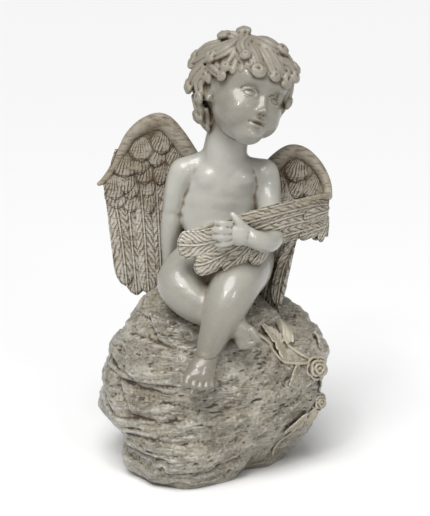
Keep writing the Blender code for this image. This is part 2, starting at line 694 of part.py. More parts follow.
def cut_flat(obj):
    """Cuts the casting off level at the floor and closes it."""
    bm = bmesh.new()
    bm.from_mesh(obj.data)
    whole = [*bm.verts, *bm.edges, *bm.faces]
    down = (0, 0, -1)
    cut = bmesh.ops.bisect_plane(bm, geom=whole, plane_co=(0, 0, 0), plane_no=down, clear_outer=True)
    rim = [item for item in cut["geom_cut"] if isinstance(item, bmesh.types.BMEdge)]
    bmesh.ops.contextual_create(bm, geom=rim)
    bmesh.ops.triangulate(bm, faces=bm.faces)
    bmesh.ops.recalc_face_normals(bm, faces=bm.faces)
    bm.to_mesh(obj.data)
    bm.free()
    return obj


def resin():
    material = bpy.data.materials.new("antiqued_resin")
    material.use_nodes = True
    shader = material.node_tree.nodes["Principled BSDF"]
    shader.inputs["Base Color"].default_value = RESIN_COLOUR
    shader.inputs["Roughness"].default_value = RESIN_ROUGHNESS
    shader.inputs["Metallic"].default_value = 0
    return material


def cast_statue():
    rock = boulder()
    skin = Skin(rock)
    clay = [rock, *body(), posed_head(), *right_wing(), *left_wing(), *rose_spray(skin)]
    statue = largest_shell(fuse(clay, rounding=2))
    thin = statue.modifiers.new("Facets", "DECIMATE")
    thin.ratio = MOST_TRIANGLES / (2 * len(statue.data.polygons))
    apply_modifiers(statue)
    cut_flat(statue)
    statue.name = statue.data.name = "angel_statue"
    statue.data.materials.clear()
    statue.data.materials.append(resin())
    return statue


def main():
    clear_scene()
    statue = cast_statue()
    home = collection("Angel statue")
    bpy.context.scene.collection.objects.unlink(statue)
    home.objects.link(statue)


main()
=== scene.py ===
"""An antiqued resin garden statue: a winged child on a boulder, its left wing wrapped across its lap.

The carving is set out in parts: 395 parts make the statue's height, so a part is 1 mm at full size.
The child looks along -Y. Its own right is on -X, the viewer's left.
"""

import math

import bpy
import numpy as np
from mathutils import Euler, Matrix, Vector, noise
from mathutils.bvhtree import BVHTree


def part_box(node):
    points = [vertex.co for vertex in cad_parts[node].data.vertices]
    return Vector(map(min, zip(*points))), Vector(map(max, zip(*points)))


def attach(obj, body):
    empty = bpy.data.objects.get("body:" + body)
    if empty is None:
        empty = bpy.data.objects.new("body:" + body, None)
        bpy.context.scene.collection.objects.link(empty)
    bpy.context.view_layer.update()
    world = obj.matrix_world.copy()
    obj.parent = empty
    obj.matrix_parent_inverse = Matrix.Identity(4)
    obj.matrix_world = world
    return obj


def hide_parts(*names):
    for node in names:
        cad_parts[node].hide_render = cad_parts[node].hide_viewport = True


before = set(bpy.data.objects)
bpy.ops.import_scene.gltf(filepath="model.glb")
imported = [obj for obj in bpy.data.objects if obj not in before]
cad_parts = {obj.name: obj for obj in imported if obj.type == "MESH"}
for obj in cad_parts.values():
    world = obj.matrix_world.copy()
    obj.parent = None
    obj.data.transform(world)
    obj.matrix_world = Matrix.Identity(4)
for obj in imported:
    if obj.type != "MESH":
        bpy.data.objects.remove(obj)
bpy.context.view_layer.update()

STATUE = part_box("angel_statue")
PART = (STATUE[1][2] - STATUE[0][2]) / 395

# Grain of the finished skins, in parts
FLESH_GRAIN = 1.28
ROCK_GRAIN = 1.28
HAIR_GRAIN = 0.85
SPRAY_GRAIN = 0.6
FACE_CUTS = 1               # how often the face's own faces are halved again

# Pose of the head: where the middle of the skull sits, its size, and its turn, nod and tilt in degrees
HEAD_CENTRE = (27, 1, 340)
HEAD_SIZE = 1.12
HEAD_TURN = 27
HEAD_NOD = -4
HEAD_TILT = 19

# The view of the photograph
AIM = (0, 0, 190)
CAMERA_AWAY = 1200
CAMERA_RISE = 12
LENS = 93.0
SENSOR = 36
NEAREST = 0.01              # what is nearer to the camera than this isn't drawn, in metres


def parts(*numbers):
    """A point or vector given in parts, as metres."""
    return Vector(numbers) * PART


def pick(*objects):
    """Selects these objects only and makes the first one active."""
    bpy.ops.object.select_all(action="DESELECT")
    for obj in objects:
        obj.select_set(True)
    bpy.context.view_layer.objects.active = objects[0]


def finish_with(obj, kind, **settings):
    """Adds a modifier with these settings and applies it."""
    modifier = obj.modifiers.new(kind, kind)
    for name, value in settings.items():
        setattr(modifier, name, value)
    pick(obj)
    bpy.ops.object.modifier_apply(modifier=modifier.name)
    return obj


def copy_of(template):
    """A copy with its own mesh."""
    made = template.copy()
    made.data = template.data.copy()
    bpy.context.scene.collection.objects.link(made)
    return made


def named(obj, name):
    obj.name = obj.data.name = name
    return obj


def joined(pieces, name="clay"):
    pick(*pieces)
    bpy.ops.object.join()
    return named(pieces[0], name)


def edit_whole(obj, operator, **settings):
    """Runs one of edit mode's operators on a whole mesh."""
    pick(obj)
    bpy.ops.object.mode_set(mode="EDIT")
    bpy.ops.mesh.select_all(action="SELECT")
    operator(**settings)
    bpy.ops.object.mode_set(mode="OBJECT")


def coordinates(obj):
    """The places of a mesh's vertices, in parts, as rows of an array."""
    flat = np.empty(3 * len(obj.data.vertices))
    obj.data.vertices.foreach_get("co", flat)
    return flat.reshape(-1, 3) / PART


def set_coordinates(obj, places):
    obj.data.vertices.foreach_set("co", (places * PART).ravel())
    obj.data.update()


def normals(obj):
    flat = np.empty(3 * len(obj.data.vertices))
    obj.data.vertices.foreach_get("normal", flat)
    return flat.reshape(-1, 3)


def unit_ball():
    bpy.ops.object.select_all(action="DESELECT")
    bpy.ops.mesh.primitive_uv_sphere_add(segments=28, ring_count=16, radius=1)
    return bpy.context.object


def unit_grid(columns, rows):
    """A flat sheet one unit long and wide."""
    bpy.ops.object.select_all(action="DESELECT")
    bpy.ops.mesh.primitive_grid_add(x_subdivisions=columns, y_subdivisions=rows, size=1)
    return bpy.context.object


UNIT_BALL = unit_ball()


def ball(centre, radii, turn=(0, 0, 0)):
    """An ellipsoid of clay. Its centre and three radii are in parts, its turn in degrees."""
    made = copy_of(UNIT_BALL)
    size = Matrix.Diagonal(parts(*radii).to_4d())
    spin = Euler([math.radians(angle) for angle in turn]).to_matrix().to_4x4()
    made.data.transform(Matrix.Translation(parts(*centre)) @ spin @ size)
    return made


def smooth_path(points, steps):
    """A Catmull-Rom curve through points of any dimension, with `steps` spans between neighbours."""
    ends = [points[0] * 2 - points[1], *points, points[-1] * 2 - points[-2]]
    path = []
    for p0, p1, p2, p3 in zip(ends, ends[1:], ends[2:], ends[3:]):
        for step in range(steps):
            t = step / steps
            path.append(0.5 * (2 * p1 + (p2 - p0) * t + (2 * p0 - 5 * p1 + 4 * p2 - p3) * t * t
                               + (3 * p1 - p0 - 3 * p2 + p3) * t * t * t))
    path.append(points[-1].copy())
    return path


def round_end(end, inner):
    """Stations that close a strand with a half ball beyond its last station."""
    away = (end.xyz - inner.xyz).normalized()
    stations = []
    for degrees in (30, 55, 75, 88):
        angle = math.radians(degrees)
        place = end.xyz + away * end.w * math.sin(angle)
        stations.append(Vector((*place, end.w * math.cos(angle))))
    return stations


def strands(lines, steps=5, sides=4):
    """Tapering strands of clay, each through stations (x, y, z, radius) in parts, as one mesh."""
    curve = bpy.data.curves.new("strands", "CURVE")
    curve.dimensions = "3D"
    curve.use_fill_caps = True
    curve.bevel_depth = PART
    curve.bevel_resolution = sides
    for line in lines:
        path = smooth_path([Vector(station) for station in line], steps)
        path = round_end(path[0], path[1])[::-1] + path + round_end(path[-1], path[-2])
        spline = curve.splines.new("POLY")
        spline.points.add(len(path) - 1)
        for point, station in zip(spline.points, path):
            point.co = (*(station.xyz * PART), 1)
            point.radius = station.w
    obj = bpy.data.objects.new("strands", curve)
    bpy.context.scene.collection.objects.link(obj)
    pick(obj)
    bpy.ops.object.convert(target="MESH")
    return obj


def fused(pieces, grain, rounding=0, swell=0):
    """Melts overlapping clay into one skin, rubs it smooth, then gives back what the rubbing took."""
    obj = joined(pieces)
    finish_with(obj, "REMESH", mode="VOXEL", voxel_size=grain * PART)
    if rounding:
        finish_with(obj, "SMOOTH", factor=0.5, iterations=rounding)
    if swell:
        finish_with(obj, "DISPLACE", mid_level=0, strength=swell * PART)
    return obj


def largest_shell(obj):
    """Drops the sealed pockets that fusing leaves inside."""
    edit_whole(obj, bpy.ops.mesh.separate, type="LOOSE")
    shells = sorted(bpy.context.selected_objects, key=lambda shell: len(shell.data.vertices))
    for shell in shells[:-1]:
        bpy.data.objects.remove(shell)
    return shells[-1]


def partway(ends, share):
    """The number at this share of the way from the first end to the second."""
    return ends[0] + (ends[1] - ends[0]) * share


def hump(offset, width):
    """1 where the offset is 0, easing to 0 over about this width."""
    return np.exp(-(offset / width) ** 2)


# The boulder

ROCK_CORE_GRAIN = 3.0       # of the plain boulder under the relief
ROCK_MASSES = [
    # centre, radii
    ((-5, 4, 74), (98, 84, 80)),
    ((-50, 0, 65), (56.5, 70, 44)),
    ((-23, -18, 36), (64, 72, 60)),
    ((11, 16, 38), (77.5, 62, 60)),
    ((50, -2, 64), (48, 50, 34)),
    ((-20, 6, 118), (61, 66, 46)),
    ((6, 8, 128), (54, 62, 36)),
    ((61, 2, 92), (42, 54, 39)),
    ((30, 40, 100), (62, 44, 56)),
    ((-56, 16, 151), (12, 14, 12)),
]

# Clefts on the front of the rock, as (x, height) places along each, with the depth of each cleft
CLEFTS = [
    ([(-100, 92), (-76, 90), (-60, 92), (-37, 93)], 2.4),
    ([(-103, 108), (-90, 97), (-82, 80), (-75, 62), (-44, 61), (-34, 65)], 2.8),
    ([(-98, 36), (-82, 30), (-60, 29), (-42, 30)], 3.4),
    ([(-46, 22), (-43, 16), (-24, 15), (-8, 18), (20, 24), (32, 33)], 3.0),
    ([(-58, 142), (-52, 128), (-36, 124), (-26, 123), (-13, 119)], 3.0),
    ([(-58, 2), (-48, -6), (-30, -12)], 2.0),
    ([(8, 8), (10, -2), (0, -10)], 2.0),
    ([(62, 92), (64, 74), (58, 64)], 1.4),
]
CLEFT_ABOVE = 1.5           # half-width of a cleft over its line
CLEFT_BELOW = 5.5           # and under it, where it eases out
RELIEF_FOOT = 1             # the relief starts at this height
RELIEF_FADE = 6             # and is whole this much higher


def blobs(point, size, shift=(0, 0, 0)):
    """Noise in round blobs of this size."""
    return noise.noise(point / size + Vector(shift))


def layers(point, height, length, thickness, shift=(0, 0, 0)):
    """Noise in patches of this length and thickness, at a height of their own that may lean or waver."""
    return noise.noise(Vector((point.x / length, point.y / length, height / thickness)) + Vector(shift))


def lumpy(point):
    """How far the boulder's skin stands out at a point, in parts: broad lumps and level ledges."""
    lumps = 6 * blobs(point, 46) + 3 * blobs(point, 19, (7, 3, 5))
    return lumps + 3 * layers(point, point.z, 70, 13, (2, 8, 1))


def strata(point):
    """Split layers: level broken ledges on the child's right and low down, slanted scars on the left."""
    height = point.z + 4 * blobs(point, 24, (4, 1, 9))
    split = layers(point, height - 0.10 * point.x, 26, 4.6)
    steps = layers(point, height, 44, 15, (5, 5, 2))
    level = 1.5 * split + 4.4 * max(-0.3, min(0.3, 3.4 * steps))
    climb = height - 0.55 * point.x
    scar = layers(point, climb, 20, 5.5, (9, 2, 4))
    facet = abs(layers(point, climb, 22, 13, (3, 7, 7)))
    right = min(1, max(0.15, 0.5 - point.x / 60 + (60 - point.z) / 150))
    return right * level + (1 - right) * (1.3 * scar - 2.6 * facet)


def pits(point):
    """Short level gashes and broken crumbs in the cast stone."""
    gash = layers(point, point.z - 0.12 * point.x, 8.5, 2.9, (1, 6, 2))
    patch = blobs(point, 21, (3, 3, 8))
    crumb = blobs(point, 2.6) + 0.6 * blobs(point, 6, (8, 1, 1))
    return 0.6 * crumb - 4.4 * max(0, gash - 0.40 + 0.25 * patch)


def cleft(places, points, depth):
    """How deep a cleft cuts at each place on the front: sharp above, easing out below."""
    shares = np.zeros(len(places))
    for (x0, z0), (x1, z1) in zip(points, points[1:]):
        run = np.array([x1 - x0, z1 - z0], float)
        rel = places[:, [0, 2]] - (x0, z0)
        t = np.clip(rel @ run / np.hypot(*run) ** 2, 0, 1)
        off = rel - t[:, None] * run
        gap = np.hypot(off[:, 0], off[:, 1])
        width = np.where(off[:, 1] < 0, CLEFT_BELOW, CLEFT_ABOVE)
        shares = np.maximum(shares, hump(gap, width) * (places[:, 1] < 0))
    return -depth * shares


def boulder():
    rock = fused([ball(*mass) for mass in ROCK_MASSES], ROCK_CORE_GRAIN, rounding=14)
    places, out = coordinates(rock), normals(rock)
    rise = np.array([lumpy(Vector(place)) for place in places])
    set_coordinates(rock, places + out * rise[:, None])
    rock = fused([rock], ROCK_GRAIN, rounding=3)
    places, out = coordinates(rock), normals(rock)
    points = [Vector(place) for place in places]
    rise = np.array([strata(point) + pits(point) for point in points])
    for line, depth in CLEFTS:
        rise += cleft(places, line, depth)
    rise *= np.clip((places[:, 2] - RELIEF_FOOT) / RELIEF_FADE, 0, 1)
    set_coordinates(rock, places + out * rise[:, None])
    return flat_foot(rock)


def flat_foot(rock):
    """Cuts the boulder off level at the floor."""
    floor = {"plane_co": (0, 0, 0), "plane_no": (0, 0, -1)}
    edit_whole(rock, bpy.ops.mesh.bisect, **floor, use_fill=True, clear_outer=True)
    return named(rock, "boulder")


# The body

TORSO_MASSES = [
    ((9, 11.5, 254), (34, 20, 31), (0, 0, 0)),      # ribs and chest
    ((-3, 0, 261), (14, 8, 12), (0, 0, 0)),         # right breast
    ((21, 0, 260), (14, 8, 12), (0, 0, 0)),         # left breast
    ((7, 11, 240), (35, 19.5, 24), (0, 0, 0)),      # lower ribs
    ((5.5, 11, 226), (36, 20, 30), (0, 0, 0)),      # waist
    ((6, 5, 212), (32, 18, 24), (0, 0, 0)),         # belly
    ((9, 14, 190), (38, 25, 20), (0, 0, 0)),        # pelvis
    ((6, -10, 186), (28, 22, 16), (0, 0, 0)),       # lap
    ((0, -36, 168), (20, 20, 15), (0, 0, 0)),       # between the thighs
    ((-7, 27, 184), (20, 18, 18), (0, 0, 0)),       # right buttock
    ((29, 27, 184), (20, 18, 18), (0, 0, 0)),       # left buttock
    ((-13, 26, 260), (14, 10, 17), (0, 0, 12)),     # right shoulder blade
    ((31, 26, 256), (14, 10, 16), (0, 0, -12)),     # left shoulder blade
    ((9, 21, 278), (19, 14, 16), (0, 0, 0)),        # nape
]

# Each limb's stations: x, y, z and radius
RIGHT_ARM = [(-27.5, 13, 266, 13.2), (-31.5, 15, 256, 12.4), (-34.5, 16, 244, 11.2), (-37.5, 17, 229, 9.8),
             (-39, 18, 216, 10), (-39.5, 20, 202, 9.6), (-39.5, 20, 186, 8.2), (-40, 20, 176, 7.8)]
LEFT_ARM = [(44, 10, 265, 13), (46.5, 8, 255, 12), (48, 0, 242, 10.8), (49.5, -14, 230, 10),
            (50.5, -30, 221, 9.5), (49, -44, 216.5, 9.2), (44.5, -56, 215.5, 8.6), (38, -66, 218.5, 7.8),
            (32, -71, 222, 7.2)]
RIGHT_SHOULDER = [(6, 13, 281, 13), (-8, 14, 275, 10.5), (-23, 14, 269, 11)]
LEFT_SHOULDER = [(13, 13, 275, 12), (27, 13, 270, 10.2), (41, 11, 267, 11)]
NECK = [(9, 14, 270, 22), (9, 13, 284, 19.4), (11, 11, 297, 18.6), (15, 8, 312, 18.4)]
RIGHT_LEG = [(-7, 12, 186, 25), (-18, -13, 184, 23.5), (-28, -36, 180, 21), (-30, -46, 175, 19),
             (-20, -54, 165, 17.4), (-6, -60, 157, 15), (6, -66, 150, 11.5), (15, -70, 146, 8.8)]
LEFT_LEG = [(29, 12, 187, 24.5), (26, -18, 184, 23.5), (20, -44, 181, 22), (15, -58, 174, 20.6),
            (9, -67, 162, 18.4), (3, -74, 148, 15.2), (-3, -81, 135, 11.4), (-7, -86, 124, 9)]

FINGERS = [
    # knuckle, middle joint and tip of each finger of the left hand, forefinger first
    [(12, -75, 235, 2.8), (6.5, -78.5, 236.5, 2.6), (0.8, -75, 236.5, 2.3)],
    [(11, -76, 229.8, 2.9), (5, -79.5, 230.6, 2.7), (-1.2, -76, 230.4, 2.4)],
    [(11, -76, 224.2, 2.9), (4.7, -79.5, 224.2, 2.7), (-1.2, -76, 224, 2.4)],
    [(12, -75, 218.6, 2.7), (6.5, -78, 218, 2.5), (1, -75, 217.6, 2.2)],
]
THUMB = [(23.5, -72, 232, 4), (19, -75, 238, 3.3), (14.5, -74, 243, 2.7)]
HAND_MASSES = [((19.5, -71, 226.5), (11, 7.4, 11)), ((27.5, -70, 223.5), (8.5, 7.2, 8.6))]
RIGHT_PALM = ((-42, 14, 171), (9.5, 11, 6.5), (-12, 0, 8))
# A finger of the right hand, from its knuckle: x from the knuckle's own, then y, z and radius
RIGHT_FINGER = [(0, 6, 170.5, 2.6), (-0.8, -1, 169, 2.4), (-1.2, -7, 165, 2.1)]
RIGHT_KNUCKLES = [-48.5 + 4.2 * finger for finger in range(4)]

LEFT_FOOT = [((-8, -87, 121), (10, 9.5, 10.5)), ((-11, -93, 115), (12.2, 7.6, 9.5), (-38, 0, 8)),
             ((-13.2, -98, 109.5), (13, 5.8, 6.8), (-38, 0, 8)), ((-7, -82, 119), (9, 10, 10))]
RIGHT_FOOT = [((18, -72, 145), (10, 8, 9.5), (0, 35, 0)), ((24.5, -76.5, 140.5), (12.5, 6, 9), (0, 42, 0))]
LEFT_TOES = [
    # root and tip of each toe of a foot, big toe first
    [(-23, -100, 108.5, 4.3), (-23.6, -104.5, 104.5, 4)],
    [(-17.2, -101.5, 107, 3.3), (-17.6, -105.5, 102.4, 3)],
    [(-12, -101.5, 106, 3.1), (-12.1, -105.5, 101.2, 2.8)],
    [(-7.2, -100.5, 106, 2.9), (-7, -104.5, 101, 2.6)],
    [(-3, -99, 106.4, 2.6), (-2.4, -102.5, 102, 2.4)],
]
RIGHT_TOES = [
    [(31, -78, 144, 3.8), (36, -82, 137, 3.5)],
    [(28, -80, 138.5, 2.8), (31.5, -83, 133, 2.5)],
    [(25, -80.5, 136.5, 2.7), (28.3, -83.5, 131.3, 2.4)],
    [(22, -80.5, 135, 2.5), (25, -83.5, 130, 2.2)],
    [(19.3, -80, 134, 2.3), (21.8, -83, 129.6, 2)],
]

CREASES = [
    # a place in the crease, the way across it, its reach, depth and half-width
    ((-6, -85, 127), (0.12, -0.28, 0.95), 18, 0.7, 0.8),    # the casting's line round the left ankle
    ((-38, 6, 228), (0.1, 0.2, 1), 11, 0.7, 3.0),           # right elbow
    ((27, -78, 222), (0.9, -0.1, -0.25), 10, 0.5, 2.0),     # left wrist
]
CREASE_FADE = 3             # a crease eases out over the last of its reach


def right_fingers():
    """Flat on the boulder beside the thigh, pointing forward."""
    return [[(knuckle + x, y, z, radius) for x, y, z, radius in RIGHT_FINGER] for knuckle in RIGHT_KNUCKLES]


def flesh():
    limbs = [RIGHT_ARM, LEFT_ARM, RIGHT_SHOULDER, LEFT_SHOULDER, NECK, RIGHT_LEG, LEFT_LEG]
    masses = [ball(*mass) for mass in TORSO_MASSES + LEFT_FOOT + RIGHT_FOOT + [RIGHT_PALM]]
    return fused([strands(limbs, sides=8), *masses], FLESH_GRAIN, rounding=18, swell=0.8)


# The head, modelled facing -Y round the middle of the skull, then posed

HEAD_MASSES = [
    ((0, 5, 4), (32, 37, 34)),              # skull
    ((0, -12, 9), (27, 22, 24)),            # forehead
    ((0, -9, -14), (27.5, 23, 25)),         # face
    ((-11, -14, -20), (14, 15, 14)),        # right cheek
    ((11, -14, -20), (14, 15, 14)),         # left cheek
    ((0, -19, -32), (12, 12, 10)),          # chin
]
EARS = [((-28.5, 3, -8), (3, 5.4, 8), (-8, 0, 0)), ((28.5, 3, -8), (3, 5.4, 8), (-8, 0, 0))]
# The rim of the right ear, which the left ear mirrors
EAR_RIM = [(-30, -2, -8, 1.3), (-31.4, -2.4, -3, 1.6), (-32.4, 1, 0.6, 1.8), (-33, 6, -0.4, 1.9),
           (-33, 8.6, -5, 1.8), (-32, 6.6, -10, 1.7), (-31, 3, -13.6, 1.9), (-30, 0, -15.6, 2.4)]
FACE_RELIEF = [
    # across, up, half-width, half-height, and how far that swelling stands out of the face
    (11.5, -3, 7.5, 5, -3.5),   # eye sockets
    (11, 5.4, 8, 3, 1.3),       # brows
    (11.5, -5, 4.6, 3.2, 2.6),  # eyeballs
    (0, -8, 2.8, 6, 2.6),       # bridge of the nose
    (0, -15.5, 3.0, 3.2, 5.4),  # tip of the nose
    (3.6, -17.2, 1.8, 1.9, 2.6),  # sides of the nose
    (1.7, -18.9, 0.9, 0.7, -1.6),  # nostrils
    (0, -25, 8, 6, 1.6),        # round the mouth
    (0, -20.8, 1.1, 2, -0.6),   # groove over the lips
    (2.2, -23.4, 3, 1.3, 1.5),  # upper lip
    (0, -27.9, 3.8, 1.5, 1.8),  # lower lip
    (0, -25.6, 5, 0.7, -1.7),   # between the lips
    (6.6, -25.4, 1.5, 1.6, -0.8),  # corners of the mouth
    (0, -31.4, 5, 1.8, -1.0),   # under the lips
    (0, -36, 6, 4, 1.6),        # chin
    (14, -17, 8, 7, 1.4),       # cheeks
]
# The eyes: across and up for the middle, then half-width and half-height
EYE_MIDDLE = (11.5, -5)
EYE_SIZE = (5.4, 3.1)
EYE_SLANT = 0.12            # how much more closed the outer corner is
LID = (1.0, 1.1, 0.8)       # place as a share of the eye's size, rise and width
LOWER_LID = 0.6             # the lower lid's rise, as a share of the upper lid's
LID_GROOVE = (0.72, -0.5, 0.6)
FOLD_SIZE = (6.6, 5.0)      # the fold over the upper lid
FOLD_UP = 0.6
FOLD_START = 1.5            # it shows only over this height
FOLD = (1.0, -0.6, 0.8)
IRIS = (2.1, -0.3, 0.45)    # radius, rise and width
PUPIL = (0, -0.35, 0.8)
# The part of the head that the face's relief covers: how far ahead, across, and from low to high
FACE_AHEAD = 12
FACE_HALF = 26
FACE_LOW = -42
FACE_HIGH = 20
FACE_FADE = 8               # the relief starts this far ahead, and is whole as much further ahead


def head_pose():
    turns = [math.radians(angle) for angle in (HEAD_NOD, HEAD_TILT, HEAD_TURN)]
    turn = Euler(turns, "XYZ").to_matrix().to_4x4()
    return Matrix.Translation(parts(*HEAD_CENTRE)) @ turn @ Matrix.Scale(HEAD_SIZE, 4)


def eye_relief(x, z, side):
    """The lids, the fold over them, the iris and the pupil, round the middle of one eye."""
    wide, tall = EYE_SIZE
    rim = np.hypot(x / wide, z / tall * (1 + EYE_SLANT * x * side / wide))
    height = LID[1] * hump((rim - LID[0]) * tall, LID[2]) * np.where(z > 0, 1, LOWER_LID)
    height += LID_GROOVE[1] * hump((rim - LID_GROOVE[0]) * tall, LID_GROOVE[2])
    fold = np.hypot(x / FOLD_SIZE[0], (z - FOLD_UP) / FOLD_SIZE[1])
    height += FOLD[1] * hump((fold - FOLD[0]) * FOLD_SIZE[1], FOLD[2]) * (z > FOLD_START)
    for radius, rise, width in (IRIS, PUPIL):
        height += rise * hump(np.hypot(x, z) - radius, width)
    return height


def relief(places):
    """How far the face stands out at each place of its front, (across, up)."""
    across, up = places[:, 0], places[:, 2]
    height = np.zeros(len(places))
    for x, z, wide, tall, rise in FACE_RELIEF:
        for side in {x, -x}:
            height += rise * np.exp(-((across - side) / wide) ** 2 - ((up - z) / tall) ** 2)
    for side in (-1, 1):
        height += eye_relief(across - side * EYE_MIDDLE[0], up - EYE_MIDDLE[1], side)
    return height


def in_head_space(places):
    """World places, in parts, as seen from the unposed head."""
    back = np.array(head_pose().inverted())
    return places @ back[:3, :3].T + back[:3, 3] / PART


def carve_face(figure):
    """Halves the face's own faces, then pushes them out and in along the way the head looks."""
    near = in_head_space(coordinates(figure))
    mine = (near[:, 1] < -FACE_AHEAD) & (np.abs(near[:, 0]) < FACE_HALF)
    mine &= (near[:, 2] > FACE_LOW) & (near[:, 2] < FACE_HIGH)
    pick(figure)
    bpy.ops.object.mode_set(mode="EDIT")
    bpy.ops.mesh.select_mode(type="FACE")
    bpy.ops.mesh.select_all(action="DESELECT")
    bpy.ops.object.mode_set(mode="OBJECT")
    for face in figure.data.polygons:
        face.select = all(mine[vertex] for vertex in face.vertices)
    bpy.ops.object.mode_set(mode="EDIT")
    bpy.ops.mesh.subdivide(number_cuts=FACE_CUTS)
    bpy.ops.object.mode_set(mode="OBJECT")
    places = coordinates(figure)
    near = in_head_space(places)
    front = np.clip((-FACE_FADE - near[:, 1]) / FACE_FADE, 0, 1)
    front *= (near[:, 2] > FACE_LOW) * (np.abs(near[:, 0]) < FACE_HALF + 2)
    ahead = np.array(head_pose().to_3x3() @ Vector((0, -1, 0)))
    set_coordinates(figure, places + np.outer(relief(near) * front, ahead))


def crease(figure, place, facing, reach, depth, width):
    """Cuts a line into the skin where a plane through this place meets it."""
    places = coordinates(figure)
    facing = np.array(Vector(facing).normalized())
    rel = places - np.array(place)
    off = rel @ facing
    away = np.linalg.norm(rel - np.outer(off, facing), axis=1)
    groove = depth * hump(off, width) * np.clip((reach - away) / CREASE_FADE, 0, 1)
    set_coordinates(figure, places - normals(figure) * groove[:, None])


def figure():
    head = fused([ball(*mass) for mass in HEAD_MASSES], FLESH_GRAIN, rounding=20, swell=1.0)
    rims = [EAR_RIM, [(-x, y, z, radius) for x, y, z, radius in EAR_RIM]]
    head = joined([head, *[ball(*ear) for ear in EARS], strands(rims)])
    head.data.transform(head_pose())
    small = [*FINGERS, THUMB, *right_fingers(), *LEFT_TOES, *RIGHT_TOES]
    palm = [ball(*mass) for mass in HAND_MASSES]
    whole = fused([flesh(), head, strands(small, sides=6), *palm], FLESH_GRAIN, rounding=2)
    whole = largest_shell(whole)
    carve_face(whole)
    for line in CREASES:
        crease(whole, *line)
    return named(whole, "child")


# The hair

SCALP_MASSES = [((0, 10.5, 8), (33, 35.5, 33.5)), ((0, -5, 19), (28, 27, 17)),
                ((0, 24, -14), (26.5, 21.5, 25.5))]
SKULL = (32, 37, 35)        # radii of the cap that the hair lies on
SKULL_MIDDLE = (0, 6, 4)
CROWN = (12, 82)            # where the locks start: degrees round from the face, degrees above the ears
LOCK_SUNK = 2.2             # how far a lock's strands lie below the height that is stated for it
LOCK_WAVE = (0.26, 0.58)    # a lock's breadth follows a half wave, from this share of it and over this much
LOCK_BOW = 0.4              # how far its outer strands lie lower, in half breadths
STRAND_OVERLAP = 1.2        # how much thicker a strand is than its share of the breadth
COIL_TURNS = 1.4
COIL_STEPS = 15
COIL_REACH = (0.72, 0.28)   # of the coil's radius: from its outer turn to its middle
COIL_TUBE = (0.36, 0.25)    # of the coil's radius: the tube's own radius, outside and in the middle
COIL_RISE = 0.35            # of the coil's radius: how far its middle stands out
COIL_DRUM = (0.95, 0.66)    # of the coil's radius: how deep the drum under it starts and ends
COIL_DRUM_RADIUS = 0.62     # of the coil's radius
UNDER_STRANDS = 40          # thin strands under the locks
UNDER_STATION = (2.2, 3.1)  # how far off the skull they lie, and their radius
UNDER_TOP = 78              # degrees above the ears at which they start
HAIRLINE = (27, 0.42)       # degrees above at the face, and how many less for each degree round
ROW_SWING = 9               # how far a back lock swings out to the side on its way down, in degrees
ROW_LENGTH = 46             # how far it starts above its coil, in degrees
ROW_LIFT = (5.5, 9)         # how far off the skull it starts and ends
ROW_STRANDS = 4
ROW_COIL = 0.48             # the coil's radius, as a share of the lock's breadth

